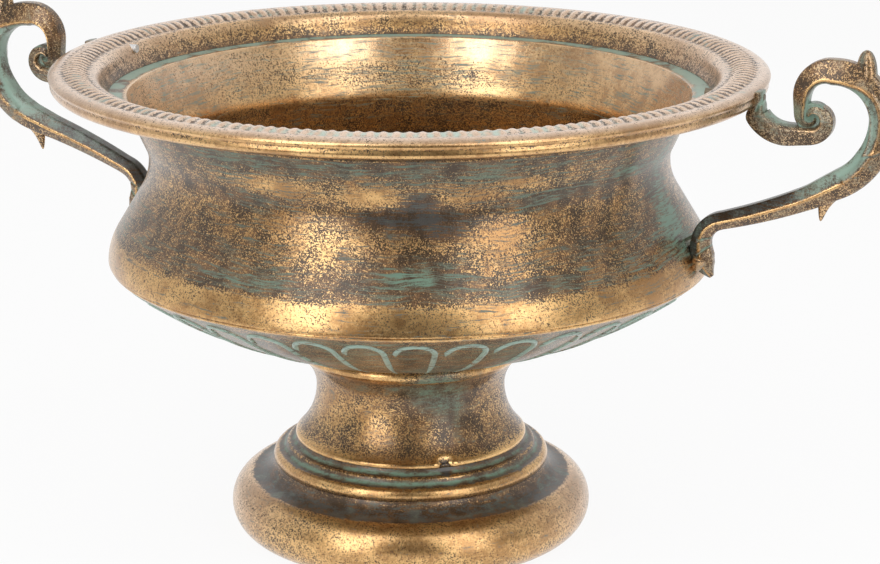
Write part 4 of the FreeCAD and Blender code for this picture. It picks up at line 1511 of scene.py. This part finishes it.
class UrnBowl(bpy.types.PropertyGroup):
    scroll_count: IntProperty(name="Scrolls", description="Scroll lines under the dish", default=36, min=6)
    scroll_width: length_setting("Scroll width", "Width of a raised scroll line", 0.0024)
    scroll_height: length_setting("Scroll height", "How far a scroll line stands out", 0.0008)


class UrnHandles(bpy.types.PropertyGroup):
    right_sag: length_setting("Right sag", "How far the right handle's bar sags", 0.0012)
    left_sag: number_setting(
        "Left sag", "How far the left handle's bar sags", -0.0010, unit="LENGTH", precision=5
    )


class UrnFinish(bpy.types.PropertyGroup):
    gold: colour_setting("Gold", "Rubbed metal", (0.90, 0.56, 0.225))
    old_gold: colour_setting("Old gold", "Duller rubbed metal", (0.47, 0.245, 0.082))
    blush: colour_setting("Blush", "Pinkish rubbed copper", (0.92, 0.71, 0.57))
    copper: colour_setting("Copper", "Reddish aged metal", (0.235, 0.12, 0.05))
    umber: colour_setting("Umber", "Dark aged metal", (0.080, 0.048, 0.025))
    veil: colour_setting("Veil", "Thin grey-green brushed over the metal", (0.16, 0.185, 0.13))
    verdigris: colour_setting("Verdigris", "Green crust in hollows", (0.195, 0.335, 0.245))
    chalk: colour_setting("Chalk", "Pale dry verdigris on the rim", (0.50, 0.66, 0.58))
    soot: colour_setting("Soot", "Charcoal left in the cove", (0.070, 0.072, 0.067))
    rivet: colour_setting("Rivet", "Bright end of the left rivet", (0.92, 0.92, 0.92))
    tarnish: colour_setting("Tarnish", "Dark end of the right rivet", (0.20, 0.16, 0.11))
    plating: colour_setting("Plating", "Screws, washers, bolt and nut", (0.55, 0.53, 0.48))
    rubber: colour_setting("Rubber", "Seal under the bolt's head", (0.03, 0.03, 0.03))


class UrnStage(bpy.types.PropertyGroup):
    backdrop: colour_setting("Backdrop", "Floor and backdrop", (0.93, 0.93, 0.93))
    table_front: length_setting("Table front", "From the urn to the table's front edge", 0.38)
    table_width: length_setting("Table width", "Width of the table and backdrop", 2.4)
    backdrop_glow: number_setting("Backdrop glow", "Share of the backdrop that looks plain white", 0.92)
    lamp_power: number_setting("Lamp power", "Power of each lamp", 9.8, unit="POWER")
    lamp_distance: length_setting("Lamp distance", "From the urn to each lamp", 1.3)
    lamp_width: length_setting("Lamp width", "Width of each lamp", 0.6)
    lamp_height: length_setting("Lamp height", "Height of each lamp", 2.1)
    lamp_turn: number_setting("Lamp turn", "Angle from the camera", math.radians(36.5), subtype="ANGLE")
    lamp_rise: number_setting("Lamp rise", "Angle above the urn", math.radians(30), subtype="ANGLE")
    room_light: number_setting("Room light", "Room behind the camera", 0.12, min=0.0)
    side_light: number_setting("Side light", "Room beside and above", 0.7, min=0.0)
    camera_lens: number_setting("Camera lens", "Focal length of the camera", 106.5, unit="CAMERA")


BUILD_STEPS = (URN_OT_foot, URN_OT_bowl, URN_OT_rim, URN_OT_handles, URN_OT_fasteners, URN_OT_stage)
SETTINGS = {
    "urn_rim": UrnRim,
    "urn_bowl": UrnBowl,
    "urn_handles": UrnHandles,
    "urn_finish": UrnFinish,
    "urn_stage": UrnStage,
}


class URN_PT_panel(bpy.types.Panel):
    """Lists the urn's build steps and settings"""
    bl_idname = "URN_PT_panel"
    bl_label = "Footed urn"
    bl_space_type = "VIEW_3D"
    bl_region_type = "UI"
    bl_category = "Urn"

    def draw(self, context):
        for step in BUILD_STEPS:
            self.layout.operator(step.bl_idname)
        for key, group in SETTINGS.items():
            column = self.layout.column()
            for setting in group.__annotations__:
                column.prop(getattr(context.scene, key), setting)


CLASSES = (*SETTINGS.values(), *BUILD_STEPS, URN_PT_panel)


def register():
    for item in CLASSES:
        bpy.utils.register_class(item)
    for key, group in SETTINGS.items():
        setattr(bpy.types.Scene, key, PointerProperty(type=group))


def unregister():
    for key in SETTINGS:
        delattr(bpy.types.Scene, key)
    for item in reversed(CLASSES):
        bpy.utils.unregister_class(item)


def main():
    register()
    bpy.ops.urn.foot()
    bpy.ops.urn.bowl()
    bpy.ops.urn.rim()
    bpy.ops.urn.handles()
    bpy.ops.urn.fasteners()
    bpy.ops.urn.stage()


if __name__ == "__main__":
    main()
